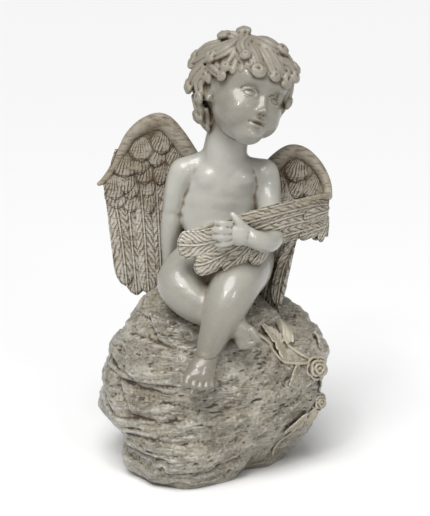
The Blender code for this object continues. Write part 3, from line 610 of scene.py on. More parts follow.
FRONT_LOCKS = [
    # places along the lock (degrees around, degrees above, how far off the skull), breadth, strands,
    # the coil's radius and the way it curls
    ([(-62, 62, 6.5), (-40, 41, 8), (-27, 26, 9), (-20, 12, 8.5)], 17, 6, 6.8, 1),
    ([(-28, 52, 7), (-13, 36, 8), (-4, 23, 8.5), (3, 12, 8)], 14, 5, 5, -1),
    ([(-30, 62, 7), (16, 72, 8), (36, 64, 8.5), (30, 51, 8)], 14, 4, 6.4, -1),
    ([(-18, 52, 7.5), (-4, 36, 9), (8, 23, 9), (23, 13, 7.5)], 15, 5, 7.4, -1),
    ([(27, 52, 8), (50, 46, 9.5), (48, 31, 11)], 14, 4, 6.2, 1),
    ([(30, 22, 7), (46, 8, 7), (52, -7, 6.5)], 13, 4, 6.2, 1),
    ([(22, 6, 4.5), (30, -6, 4), (33, -20, 3.5)], 7, 2, 0, 1),
    ([(-58, 47, 8), (-50, 33, 8.5), (-42, 23, 8), (-32, 17, 6.5)], 8, 3, 4.4, -1),
    ([(-66, 50, 7), (-70, 31, 11), (-88, 18, 12), (-110, 9, 13)], 14, 4, 6.4, 1),
    ([(-60, 36, 8.5), (-74, 24, 9), (-81, 9, 8), (-87, -4, 6)], 12, 4, 5.2, -1),
    ([(-56, 38, 8), (-54, 27, 7.5), (-56, 18, 7), (-58, 9, 7.5)], 10, 3, 4.8, 1),
    ([(-84, 10, 8), (-71, 4, 8.5), (-60, -2, 7)], 10, 3, 4.6, -1),
    ([(-91, 40, 9), (-100, 30, 12), (-108, 22, 13), (-115, 17, 13.5)], 11, 3, 6, -1),
    ([(-71, 57, 7), (-82, 55, 10), (-90, 48, 11)], 12, 3, 6.6, 1),
    ([(-60, 48, 6), (-76, 61, 8), (-86, 70, 9.6)], 14, 4, 7, -1),
    ([(-93, 8, 10), (-102, -4, 12.5), (-109, -15, 12.5)], 14, 4, 7, 1),
    ([(-88, 0, 7), (-97, -13, 9), (-92, -28, 9)], 12, 3, 6.4, -1),
    ([(-114, -26, 9), (-101, -37, 11), (-107, -47, 12)], 12, 3, 6.8, 1),
    ([(-96, -42, 7), (-112, -53, 8), (-119, -62, 10)], 10, 3, 5.6, -1),
    ([(54, -2, 5), (62, -16, 5.5), (66, -28, 5)], 11, 3, 5.6, -1),
    ([(72, -30, 4), (80, -42, 4.5), (84, -52, 4)], 10, 3, 5, 1),
    ([(-46, 50, 10.5), (-47, 36, 11.5), (-38, 24, 11)], 9, 3, 4.8, -1),
    ([(-25, 60, 9), (-7, 50, 11.5), (14, 45, 11.5)], 14, 4, 6.4, 1),
    ([(-62, 43, 9.5), (-64, 28, 11.5), (-78, 16, 11.5)], 12, 4, 6, 1),
    ([(9, 32, 10), (26, 29, 11.5), (32, 18, 12)], 12, 4, 5.8, -1),
]
# Rows of the other locks, round the back: degrees above, first and last degrees around, how many, breadth
LOCK_ROWS = [
    (60, 96, 246, 5, 13),
    (38, 82, 232, 6, 13),
    (15, 84, 226, 6, 13),
    (-8, 88, 222, 6, 12.5),
    (-31, 100, 216, 5, 12),
    (-53, 112, 220, 4, 11),
]


def on_skull(around, above, lift):
    """A point over the skull: around is 0 at the face and positive to the child's left."""
    a, e = math.radians(around), math.radians(above)
    out = Vector((math.sin(a) * math.cos(e), -math.cos(a) * math.cos(e), math.sin(e)))
    return Vector(SKULL_MIDDLE) + Vector([(r + lift) * o for r, o in zip(SKULL, out)])


def lock(places, breadth, count, coil, curl):
    """The strands of a lock, side by side along its places, and the coil that it ends in."""
    path = [on_skull(around, above, stand - LOCK_SUNK) for around, above, stand in places]
    path = smooth_path(path, 3)
    last = len(path) - 1
    lines = [[] for _ in range(count)]
    for index, place in enumerate(path):
        ahead = path[min(index + 1, last)] - path[max(index - 1, 0)]
        out = (place - Vector(SKULL_MIDDLE)).normalized()
        side = ahead.cross(out).normalized()
        wave = LOCK_WAVE[0] + LOCK_WAVE[1] * index / last
        half = breadth / 2 * (0.5 + 0.5 * math.sin(math.pi * wave))
        radius = STRAND_OVERLAP * half / count
        for number, line in enumerate(lines):
            across = 2 * number / (count - 1) - 1
            strand = place + side * across * (half - radius) - out * LOCK_BOW * half * across ** 2
            line.append((*strand, radius))
    if coil:
        lines += coiled(path[-1], path[-1] - path[-2], coil, curl)
    return lines


def coiled(middle, ahead, radius, curl):
    """A snail coil with a pit in its middle, on a short drum."""
    out = (middle - Vector(SKULL_MIDDLE)).normalized()
    along = ahead.normalized()
    side = out.cross(along) * curl
    spiral = []
    for step in range(COIL_STEPS):
        t = step / (COIL_STEPS - 1)
        angle = t * COIL_TURNS * 2 * math.pi
        reach = radius * partway(COIL_REACH, t)
        turned = side * math.cos(angle) + along * math.sin(angle)
        place = middle + turned * reach + out * COIL_RISE * radius * t
        spiral.append((*place, radius * partway(COIL_TUBE, t)))
    drum = [(*(middle - out * radius * depth), COIL_DRUM_RADIUS * radius) for depth in COIL_DRUM]
    return [spiral, drum]


def under_strands():
    """Thin strands from the crown to the hairline, which show between the locks."""
    lift, radius = UNDER_STATION
    lines = []
    for index in range(UNDER_STRANDS):
        around = 360 * (index + 0.5) / UNDER_STRANDS - 180
        ends = (UNDER_TOP, HAIRLINE[0] - HAIRLINE[1] * abs(around))
        wave = 5 * math.sin(2.7 * index)
        line = []
        for t in (0, 0.25, 0.5, 0.75, 1):
            line.append((*on_skull(around + wave * t, partway(ends, t), lift), radius))
        lines.append(line)
    return lines


def row_locks():
    """The locks round the back, each from the crown down to its coil."""
    locks = []
    for row, (above, first, last, count, breadth) in enumerate(LOCK_ROWS):
        for index in range(count):
            uneven = 4 * math.sin(3.1 * index + 2 * row)
            around = first + (last - first) * (index + 0.5 * (row % 2)) / count + uneven
            end = above + 4 * math.sin(5.3 * index + row)
            curl = 1 if (index + row) % 2 else -1
            turn = (around + (CROWN[0] - around) * 0.3, around)
            height = (min(CROWN[1], end + ROW_LENGTH), end)
            places = []
            for t in (0, 0.34, 0.67, 1):
                swing = ROW_SWING * curl * math.sin(math.pi * t)
                places.append((partway(turn, t) + swing, partway(height, t), partway(ROW_LIFT, t)))
            wide = breadth * (1 + 0.1 * math.sin(2.3 * index))
            locks.append((places, wide, ROW_STRANDS, breadth * ROW_COIL, curl))
    return locks


def hair():
    lines = [line for tuft in FRONT_LOCKS + row_locks() for line in lock(*tuft)]
    locks = strands(lines + under_strands(), steps=2, sides=3)
    mop = joined([locks, *[ball(*mass) for mass in SCALP_MASSES]])
    mop.data.transform(head_pose())
    return named(largest_shell(fused([mop], HAIR_GRAIN, rounding=2)), "hair")


# The wings

FEATHER_WALL = 2.2
COVERT_ROUND = 0.66         # how much of a covert's length its round end takes, in widths
SHAFT = 0.7                 # how far a feather's shaft stands over its vane
NO_SHAFT = 3                # added to the distance from the shaft on a covert, which shows none
COVERT_FAN = 8.0            # grooves between a covert's barbs for each radian round its root
FAN_MIDDLE = 0.3            # the fan's middle lies this share of the covert's length behind its base
LONG_BARBS = 7.6            # from one groove to the next along a long feather, in parts
BARB_SLANT = 1.9            # how far a barb runs along the shaft for each step away from it
VANE_FOOT = 1.5             # how far a feather's base stands off the blade
VANE_DROOP = 1.9            # how far its edges lie lower than its middle
VANE_NECK = 0.72            # how wide it is at its base, as a share of its width
SHAFT_WIDTH = 0.14          # of the vane's half width
TIP_EDGE = 0.02             # how much of its width, squared, is left at the end of its round tip


class Blade:
    """The curved surface of a wing, between an upper edge and a lower edge.

    A place on it is (span, drop): span runs from the root to the far end and drop from the upper edge down.
    """

    def __init__(self, upper, lower):
        self.upper = smooth_path([Vector(point) for point in upper], 8)
        self.lower = smooth_path([Vector(point) for point in lower], 8)

    @staticmethod
    def along(line, share):
        place = share * (len(line) - 1)
        index = min(max(int(place), 0), len(line) - 2)
        return line[index].lerp(line[index + 1], place - index)

    def point(self, span, drop):
        return self.along(self.upper, span).lerp(self.along(self.lower, span), drop)

    def normal(self, span, drop):
        step = 0.01
        across = self.point(span + step, drop) - self.point(span - step, drop)
        down = self.point(span, drop + step) - self.point(span, drop - step)
        return down.cross(across).normalized()

    def sheet(self, thickness, reach, columns=60, rows=16):
        """The blade itself, as a slab that covers this share of the span and of the drop."""
        slab = unit_grid(columns, rows)
        for vertex in slab.data.vertices:
            vertex.co = self.point((vertex.co.x + 0.5) * reach[0], (vertex.co.y + 0.5) * reach[1]) * PART
        return finish_with(slab, "SOLIDIFY", thickness=thickness * PART, offset=0)

    def feather(self, template, base, tip, width, side, lift, round_tip=0.55, quill=SHAFT):
        """A feather's vane, lying on the blade from base to tip, both (span, drop), on its side 1 or -1.

        It carries the count of barbs up to each point, the distance from the shaft and that from the rim.
        """
        vane = copy_of(template)
        length = (self.point(*tip) - self.point(*base)).length
        round_length = min(0.5 * length, round_tip * width)
        barbs, across, rim = [vane.data.attributes[name].data for name in ("barbs", "across", "rim")]
        for vertex in vane.data.vertices:
            u, v = vertex.co.x + 0.5, vertex.co.y * 2
            past = max(0, 1 - (1 - u) * length / round_length)
            taper = partway((VANE_NECK, 1), min(1, 2 * u))
            half = 0.5 * width * taper * math.sqrt(max(TIP_EDGE, 1 - past * past))
            vertex.co = self.vane_point(base, tip, half * v, v, side, lift, u, quill) * PART
            index = vertex.index
            if quill:
                barbs[index].value = 1 + (length * u + BARB_SLANT * width * (1 - abs(v)) / 2) / LONG_BARBS
            else:
                fan = math.atan2(half * v, length * (u + FAN_MIDDLE))
                barbs[index].value = 8 + COVERT_FAN * fan + 1.4 * u
            across[index].value = half * abs(v) + (0 if quill else NO_SHAFT)
            rim[index].value = min(half * (1 - abs(v)), (1 - past) * round_length)
        return vane

    def vane_point(self, base, tip, away, v, side, lift, u, quill):
        """A point of the vane: u runs from its base to its tip, v from one edge at -1 to the other at 1."""
        span = base[0] + (tip[0] - base[0]) * u
        drop = base[1] + (tip[1] - base[1]) * u
        step = 0.02
        here = self.point(span, drop)
        ahead = self.point(span + (tip[0] - base[0]) * step, drop + (tip[1] - base[1]) * step)
        normal = self.normal(span, drop) * side
        across = normal.cross(ahead - here).normalized()
        height = partway((VANE_FOOT, lift), u ** 0.6) - VANE_DROOP * v * v + quill * hump(v, SHAFT_WIDTH)
        return here + across * away + normal * height


RIGHT_BAND = [(-8, 30, 259, 8), (-19, 34, 273, 7.6), (-34, 37, 295, 7.8), (-48, 38, 308.5, 8),
              (-63, 37, 306, 7), (-76, 36, 296, 5.6), (-84, 35, 283, 4.6), (-94, 34, 265, 3.6),
              (-102, 33, 255, 2.8), (-106, 32, 252.5, 2)]
RIGHT_LOWER = [(-14, 36, 190), (-24, 36, 170), (-38, 36, 160), (-52, 36, 160), (-64, 36, 156),
               (-75, 36, 151.5), (-84, 35, 154), (-89, 34, 165), (-90, 34, 184), (-92, 34, 215)]
LEFT_BAND = [(36, 30, 256, 8.5), (47, 32, 263, 7.8), (58, 35, 274, 7.5), (69, 37, 281, 7),
             (80, 37, 279.5, 6.5), (90, 34, 272, 5.8), (97, 28, 263, 5), (101, 19, 253.5, 4.4),
             (101.5, 9, 245, 4)]
LEFT_LOWER = [(38, 30, 168), (42, 26, 150), (47, 20, 141), (51, 15, 136), (54.5, 11, 133),
              (55, 11, 143), (52, 13, 158), (56, 15, 177), (72, 13, 204)]
LAP_BAND = [(101.5, 9, 245, 4), (100, -2, 246.5, 3), (91, -12, 247.5, 2.4), (74, -28, 246.5, 2.1),
            (56, -43, 244.5, 2), (35, -54, 241.5, 2), (16, -60, 237, 1.9), (-6, -64.5, 231.5, 1.8),
            (-19, -67, 228, 1.6)]
LAP_UPPER = [station[:3] for station in LAP_BAND] + [(-30, -67.5, 225)]
LAP_LOWER = [(100, 9, 210), (94, -2, 207), (82, -14, 211), (66, -30, 213), (50, -43, 212),
             (32, -53, 204), (15, -60, 199), (-4, -65, 196), (-16, -67, 199), (-27, -68, 205)]

# Rows of round coverts, the lowest first: how far each row's bases lie below the band, its reach and width
RIGHT_COVERTS = [(57, 24, 19), (44, 24, 20), (31, 24, 20), (18, 24, 21), (5, 24, 24)]
LEFT_COVERTS = [(43, 24, 18), (30, 24, 19), (17, 24, 20), (4, 24, 24)]
RIGHT_COVERT_FOOT = 225     # the coverts' tips stay above this height
LEFT_COVERT_FOOT = 205
COVERT_SPACING = 0.88       # from one covert to the next in its row, in widths
COVERT_GONE = (0.4, 0.9)    # the part of a spacing before the start of an even and an odd row, in widths
COVERT_STEPS = 400          # how finely a row is walked along
COVERT_LIFT = (3.9, 0.45)   # how far a tip stands out in the lowest row, and more in each row above
# Long feathers: base and tip, both (span, drop), and width, from the outer edge inwards
RIGHT_LONG = [
    ((0.80, 0.12), (0.64, 0.97), 20), ((0.63, 0.22), (0.53, 1.03), 20), ((0.49, 0.30), (0.42, 1.05), 20),
    ((0.37, 0.33), (0.31, 1.03), 19), ((0.27, 0.34), (0.20, 1.0), 19), ((0.15, 0.34), (0.09, 1.0), 18),
]
LEFT_LONG = [
    ((0.86, 0.45), (0.62, 0.99), 14), ((0.70, 0.40), (0.50, 1.0), 14), ((0.54, 0.40), (0.37, 1.0), 14),
    ((0.38, 0.40), (0.23, 1.0), 14), ((0.20, 0.40), (0.09, 1.0), 13),
]
LAP_FEATHERS = [
    # base and tip, both (span, drop), width, and how far the tip stands out, the lowest layer first
    ((0.42, 0.62), (0.57, 1.16), 19, 13), ((0.52, 0.55), (0.715, 1.12), 20, 11),
    ((0.50, 0.45), (0.91, 1.03), 21, 4.6), ((0.20, 0.30), (1.035, 0.44), 24, 4.4),
    ((0.10, 0.17), (0.66, 0.17), 16, 4.6), ((0.14, 0.70), (0.44, 0.85), 15, 5),
    ((0.12, 0.50), (0.56, 0.58), 15, 5.2), ((0.04, 0.50), (0.14, 1.02), 12, 5.6),
    ((0.02, 0.50), (0.06, 0.96), 12, 6), ((0.10, 0.66), (0.30, 0.90), 15, 6.2),
    ((0.05, 0.26), (0.30, 0.46), 20, 6.8),
]


def unit_vane(columns, rows, name):
    """A flat vane one unit long and wide, ready to carry what a feather's finish follows."""
    vane = named(unit_grid(columns, rows), name)
    for layer in ("barbs", "across", "rim"):
        vane.data.attributes.new(layer, "FLOAT", "POINT")
    return vane


SHORT_VANE = unit_vane(14, 12, "short vane")
LONG_VANE = unit_vane(40, 12, "long vane")


def covert_rows(blade, spans, rows, foot, side):
    """Rows of short round feathers, the lowest row first so that each row covers the one below."""
    vanes = []
    for number, (offset, reach, width) in enumerate(rows):
        gone = width * COVERT_GONE[number % 2]
        last = None
        for step in range(COVERT_STEPS + 1):
            span = spans[0] + (spans[1] - spans[0]) * step / COVERT_STEPS
            deep = (blade.point(span, 1) - blade.point(span, 0)).length
            here = blade.point(span, (offset + reach) / deep)
            gone += (here - last).length if last else 0
            last = here
            if gone > width * COVERT_SPACING and here.z > foot:
                gone = 0
                uneven = math.sin(2.3 * len(vanes) + number)
                base = (span, (offset + 2 * uneven) / deep)
                lean = 0.014 * math.sin(4.1 * len(vanes))
                tip = (span + lean, (offset + reach * (1 + 0.07 * uneven)) / deep)
                size = width * (1 + 0.12 * math.sin(3.7 * len(vanes) + 1))
                lift = COVERT_LIFT[0] + COVERT_LIFT[1] * number + 0.5 * uneven
                vanes.append(blade.feather(SHORT_VANE, base, tip, size, side, lift, COVERT_ROUND, quill=0))
    return vanes


def feathered(vanes, rest, name):
    """Joins a wing's feathers, gives them their wall and adds the solid pieces that carry them."""
    plumage = finish_with(joined(vanes), "SOLIDIFY", thickness=FEATHER_WALL * PART, offset=-1)
    return joined([plumage, *rest], name)


def right_wing():
    blade = Blade([station[:3] for station in RIGHT_BAND], RIGHT_LOWER)
    vanes = []
    for side in (1, -1):
        for index, (base, tip, width) in enumerate(RIGHT_LONG):
            vanes.append(blade.feather(LONG_VANE, base, tip, width, side, 5.2 - 1.1 * (index % 2), 0.8))
        vanes += covert_rows(blade, (0.06, 0.97), RIGHT_COVERTS, RIGHT_COVERT_FOOT, side)
    return feathered(vanes, [strands([RIGHT_BAND], sides=8), blade.sheet(4, (0.9, 0.92))], "right_wing")


def left_wing():
    blade = Blade([station[:3] for station in LEFT_BAND], LEFT_LOWER)
    lap = Blade(LAP_UPPER, LAP_LOWER)
    vanes = []
    for side in (1, -1):
        for index, (base, tip, width) in enumerate(LEFT_LONG):
            vanes.append(blade.feather(LONG_VANE, base, tip, width, side, 4.4 - 1.2 * (index % 2), 1.1))
        vanes += covert_rows(blade, (0.04, 0.98), LEFT_COVERTS, LEFT_COVERT_FOOT, side)
        for base, tip, width, lift in LAP_FEATHERS:
            vanes.append(lap.feather(LONG_VANE, base, tip, width, side, lift if side > 0 else 4))
    sheets = [blade.sheet(4, (1, 0.9)), lap.sheet(3, (0.9, 0.82))]
    return feathered(vanes, [strands([LEFT_BAND, LAP_BAND], sides=8), *sheets], "left_wing")


# The rose spray on the boulder's left side

ROSES = [
    # degrees round, height, radius, and the way the rose faces
    (111.5, 98, 10.2, (0.4, -0.9, 0.15)), (103, 62, 8.2, (0.55, -0.8, 0.1)),
]
ROSE_RINGS = [
    # petals in the ring; reach, rise and thickness of their rims, in radii of the rose
    (5, 0.94, 0.16, 0.13), (4, 0.68, 0.5, 0.12), (3, 0.42, 0.74, 0.11),
]
BUDS = [
    # places of the foot and the tip, both degrees round and height, and width
    ((118, 120), (110, 136), 12), ((105, 58), (106, 43), 12),
]
LEAVES = [
    # places of the foot and the tip, both degrees round and height, and width
    ((126, 107), (119, 130), 21), ((124, 119), (129, 136), 13), ((122, 103), (128, 87), 13),
    ((112, 54), (122, 40), 14), ((105, 92), (99, 75), 16), ((103, 112), (96, 122), 13),
    ((104, 52), (98, 40), 14),
]
STEMS = [
    # places along each stem: degrees round, height
    [(150, 139), (142, 132), (135.6, 124.7), (132.7, 117.4), (131, 110.4), (127.5, 106),
     (121.5, 104.4), (114, 103)],
    [(107, 132), (115, 128), (117.7, 123), (119, 118), (116.9, 111), (113, 105)],
    [(107, 90), (103, 78), (101, 66)],
    [(102, 58), (104, 40), (108, 32), (113, 26), (116, 20), (114, 13)],
]
STEM = 1.5                  # radius of a stem
LEAF_RISE = 9               # how far a leaf arches and folds for each unit of its template
LEAF_WALL = 0.16
BUD = 0.42                  # a bud's radius, in its widths
ROSE_HEART = 0.74           # the radius of the dome in a rose, in radii of the rose
PETAL_WIND = 1.25           # how far a rim runs round, in petals of its ring
PETAL_TILT = 0.12           # how far it sinks on its way, in radii of the rose
ROCK_MIDDLE = (0, 0, 80)
BEYOND_ROCK = 300           # a ray towards the boulder's side starts this far out


class Skin:
    """Finds places on the boulder's side by degrees round it and height."""

    def __init__(self, rock):
        corners = [vertex.co for vertex in rock.data.vertices]
        self.tree = BVHTree.FromPolygons(corners, [face.vertices for face in rock.data.polygons])

    def place(self, around, height):
        """The surface point and its outward normal, in parts.

        Degrees run from the back, clockwise seen from above.
        """
        angle = math.radians(around)
        out = Vector((math.sin(angle), math.cos(angle), 0))
        hit, *_ = self.tree.ray_cast(parts(0, 0, height) + out * BEYOND_ROCK * PART, -out)
        upward = (hit - parts(*ROCK_MIDDLE)).normalized()
        return hit / PART, (out + upward).normalized()


def unit_leaf():
    """A pointed leaf one unit long and wide, folded along its midrib, with veins and a notched edge."""
    leaf = unit_grid(24, 12)
    for vertex in leaf.data.vertices:
        along, across = vertex.co.x + 0.5, vertex.co.y * 2
        half = 0.5 * math.sin(math.pi * along ** 0.8) ** 0.8 * (1 + 0.07 * math.sin(along * 40)) + 0.02
        veins = 0.05 * math.cos(30 * (along - 0.35 * abs(across)))
        vertex.co = (along, across * half, 0.16 * abs(across) + veins + 0.2 * math.sin(math.pi * along))
    return finish_with(leaf, "SOLIDIFY", thickness=LEAF_WALL, offset=-1)


def lay(template, foot, tip, normal, width, rise):
    """A copy of a template one unit long and wide, laid from its foot to its tip."""
    along = tip - foot
    across = normal.cross(along).normalized() * width
    up = along.cross(across).normalized() * rise
    made = copy_of(template)
    stretch = Matrix((along, across, up)).transposed().to_4x4()
    made.data.transform(Matrix.Translation(foot * PART) @ stretch @ Matrix.Scale(PART, 4))
    return made


def rose(point, facing, radius):
    """An open rose: a dome with the rolled rims of its petals wound round it, the outer ones lying open."""
    side = facing.orthogonal().normalized()
    other = facing.cross(side)
    middle = point + facing * radius * 0.15
    rims = []
    for ring, (count, reach, rise, thick) in enumerate(ROSE_RINGS):
        for index in range(count):
            rim = []
            for step in range(7):
                t = step / 6
                arch = math.sin(math.pi * t)
                angle = 2 * math.pi * ((index + PETAL_WIND * t + 0.4 * ring) / count)
                swell = reach * (0.84 + 0.26 * arch) - 0.08 * t
                out = (side * math.cos(angle) + other * math.sin(angle)) * swell * radius
                place = middle + out + facing * radius * (rise + 0.07 * arch - PETAL_TILT * t)
                rim.append((*place, thick * radius * (0.75 + 0.35 * arch)))
            rims.append(rim)
    low_end = middle + facing * radius * 0.6 + side * radius * 0.12
    high_end = middle + facing * radius * 0.92 - other * radius * 0.1
    rims.append([(*low_end, 0.12 * radius), (*high_end, 0.12 * radius)])
    return [ball(middle, (radius * ROSE_HEART,) * 3), strands(rims, steps=2, sides=3)]


def bud(foot, tip, width):
    """A closed bud: an egg of clay with three petals wrapped round it."""
    along = tip - foot
    middle = (foot + tip) / 2
    turn = along.to_track_quat("Z", "Y")
    egg = copy_of(UNIT_BALL)
    size = Matrix.Diagonal((width * BUD, width * BUD, along.length * 0.5, 1))
    laid = Matrix.Translation(middle * PART) @ turn.to_matrix().to_4x4()
    egg.data.transform(laid @ size @ Matrix.Scale(PART, 4))
    rims = []
    for petal in range(3):
        rim = []
        for step in range(6):
            t = step / 5
            angle = 2 * math.pi * petal / 3 + 1.6 * t
            reach = width * BUD * math.sin(math.pi * (0.2 + 0.7 * t))
            local = Vector((math.cos(angle) * reach, math.sin(angle) * reach, along.length * (t - 0.5)))
            rim.append((*(middle + turn @ local), 0.11 * width))
        rims.append(rim)
    return [egg, strands(rims, steps=2, sides=3)]


def rose_spray(rock):
    skin = Skin(rock)
    leaf = unit_leaf()
    pieces = []
    for around, height, radius, facing in ROSES:
        point, _ = skin.place(around, height)
        pieces += rose(point, Vector(facing).normalized(), radius)
    for foot, tip, width in BUDS:
        (low_end, normal), (high_end, _) = skin.place(*foot), skin.place(*tip)
        pieces += bud(low_end + normal * width * 0.2, high_end + normal * width * 0.3, width)
    for foot, tip, width in LEAVES:
        (low_end, normal), (high_end, _) = skin.place(*foot), skin.place(*tip)
        pieces.append(lay(leaf, low_end + normal * 0.6, high_end + normal * 0.9, normal, width, LEAF_RISE))
    lines = []
    for line in STEMS:
        spots = [skin.place(*place) for place in line]
        lines.append([(*(point + normal * 0.9), STEM) for point, normal in spots])
    pieces.append(strands(lines, steps=6, sides=3))
    bpy.data.objects.remove(leaf)
    return named(fused(pieces, SPRAY_GRAIN, rounding=1), "rose_spray")


# The brown wash that the maker rubbed into every hollow, and painted shade where surfaces cover the sky,
# worked out from the finished shapes

SHELTER_RAYS = 12
WASH_AND_SHADE_REACH = 9              # how far a neighbouring surface still darkens a hollow with wash and painted shade, in parts
WIDE_SHADE_REACH = 36             # how far a surface still casts the wide painted shade, in parts
WASH_AND_SHADE_FADE = 0.6             # how much less wash and painted shade it gives at the end of its reach
RAY_START = 0.25            # the rays start this far off the skin, in parts


def cosine_rays(count):
    """Directions spread over the half sphere round +Z, more of them near the pole."""
    rays = []
    for index in range(count):
        r = math.sqrt((index + 0.5) / count)
        angle = index * math.pi * (3 - math.sqrt(5))
        rays.append((r * math.cos(angle), r * math.sin(angle), math.sqrt(1 - r * r)))
    return np.array(rays)


def triangles(obj):
    mesh = obj.data
    mesh.calc_loop_triangles()
    flat = np.empty(3 * len(mesh.loop_triangles), dtype=np.int32)
    mesh.loop_triangles.foreach_get("vertices", flat)
    return flat.reshape(-1, 3)


def neighbour_mean(obj, values, rounds):
    """Values at the vertices, averaged with their neighbours' a number of times."""
    flat = np.empty(2 * len(obj.data.edges), dtype=np.int32)
    obj.data.edges.foreach_get("vertices", flat)
    a, b = flat.reshape(-1, 2).T
    count = len(obj.data.vertices)
    degree = np.bincount(a, minlength=count) + np.bincount(b, minlength=count) + 1
    values = values.reshape(count, -1).astype(float)
    for _ in range(rounds):
        mean = np.empty_like(values)
        for column in range(values.shape[1]):
            value = values[:, column]
            total = np.bincount(a, weights=value[b], minlength=count)
            total += np.bincount(b, weights=value[a], minlength=count)
            mean[:, column] = (total + value) / degree
        values = mean
    return values


def hollowness(obj, rounds):
    """How far each vertex lies below the mean of what is round it, in parts."""
    places = coordinates(obj)
    away = neighbour_mean(obj, places, rounds) - places
    return np.einsum("ij,ij->i", away, normals(obj))


def shelter(pieces):
    """For each piece, how much of the sky near surfaces cover at its vertices, and how much others do: the
    masks of wash and painted shade.
    """
    corners = []
    faces = []
    start = 0
    for piece in pieces:
        places = coordinates(piece)
        corners.append(places)
        faces.append(triangles(piece) + start)
        start += len(places)
    tree = BVHTree.FromPolygons(np.vstack(corners).tolist(), np.vstack(faces).tolist(), all_triangles=True)
    rays = cosine_rays(SHELTER_RAYS)
    result = []
    for piece, places in zip(pieces, corners):
        out = normals(piece)
        helper = np.where(np.abs(out[:, [2]]) < 0.9, (0, 0, 1), (1, 0, 0))
        side = np.cross(helper, out)
        side /= np.linalg.norm(side, axis=1)[:, None] + 1e-9
        other = np.cross(out, side)
        starts = [Vector(row) for row in places + out * RAY_START]
        near, wide = np.zeros(len(places)), np.zeros(len(places))
        for x, y, z in rays:
            ways = side * x + other * y + out * z
            for index, (origin, way) in enumerate(zip(starts, ways.tolist())):
                gap = tree.ray_cast(origin, way, WIDE_SHADE_REACH)[3]
                if gap is not None:
                    wide[index] += 1 - gap / WIDE_SHADE_REACH
                    if gap < WASH_AND_SHADE_REACH:
                        near[index] += 1 - WASH_AND_SHADE_FADE * gap / WASH_AND_SHADE_REACH
        near = neighbour_mean(piece, near / SHELTER_RAYS, 2)[:, 0]
        wide = neighbour_mean(piece, wide / SHELTER_RAYS, 6)[:, 0]
        result.append([near, wide])
    return result


def lay_wash_and_shade(pieces):
    """Writes what the finishes read: shelter, which marks wash and painted shade, the wide painted shade,
    and hollows at a fine and a broad scale.
    """
    for piece, (near, wide) in zip(pieces, shelter(pieces)):
        fine = hollowness(piece, 2)
        broad = hollowness(piece, 8)
        for name, values in {"shelter": near, "wide_shade": wide, "fine": fine, "broad": broad}.items():
            layer = piece.data.attributes.new(name, "FLOAT", "POINT")
            layer.data.foreach_set("value", values)


# Materials

class Socket:
    """A shader socket on which sums are written as on a number."""

    def __init__(self, paint, link):
        self.paint = paint
        self.link = link

    def maths(self, operation, *values):
        return self.paint.node("ShaderNodeMath", {"operation": operation}, *values)

    def __add__(self, other):
        return self.maths("ADD", self, other)

    def __sub__(self, other):
        return self.maths("SUBTRACT", self, other)

    def __rsub__(self, other):
        return self.maths("SUBTRACT", other, self)

    def __mul__(self, other):
        return self.maths("MULTIPLY", self, other)

    def abs(self):
        return self.maths("ABSOLUTE", self)

    def sin(self):
        return self.maths("SINE", self)

    def least(self, other):
        return self.maths("MINIMUM", self, other)

    def between(self, low, high):
        """0 below low, 1 above high, smooth between."""
        ramp = {"interpolation_type": "SMOOTHSTEP"}
        return self.paint.node("ShaderNodeMapRange", ramp, self, low, high, 0.0, 1.0)

    __radd__ = __add__
    __rmul__ = __mul__


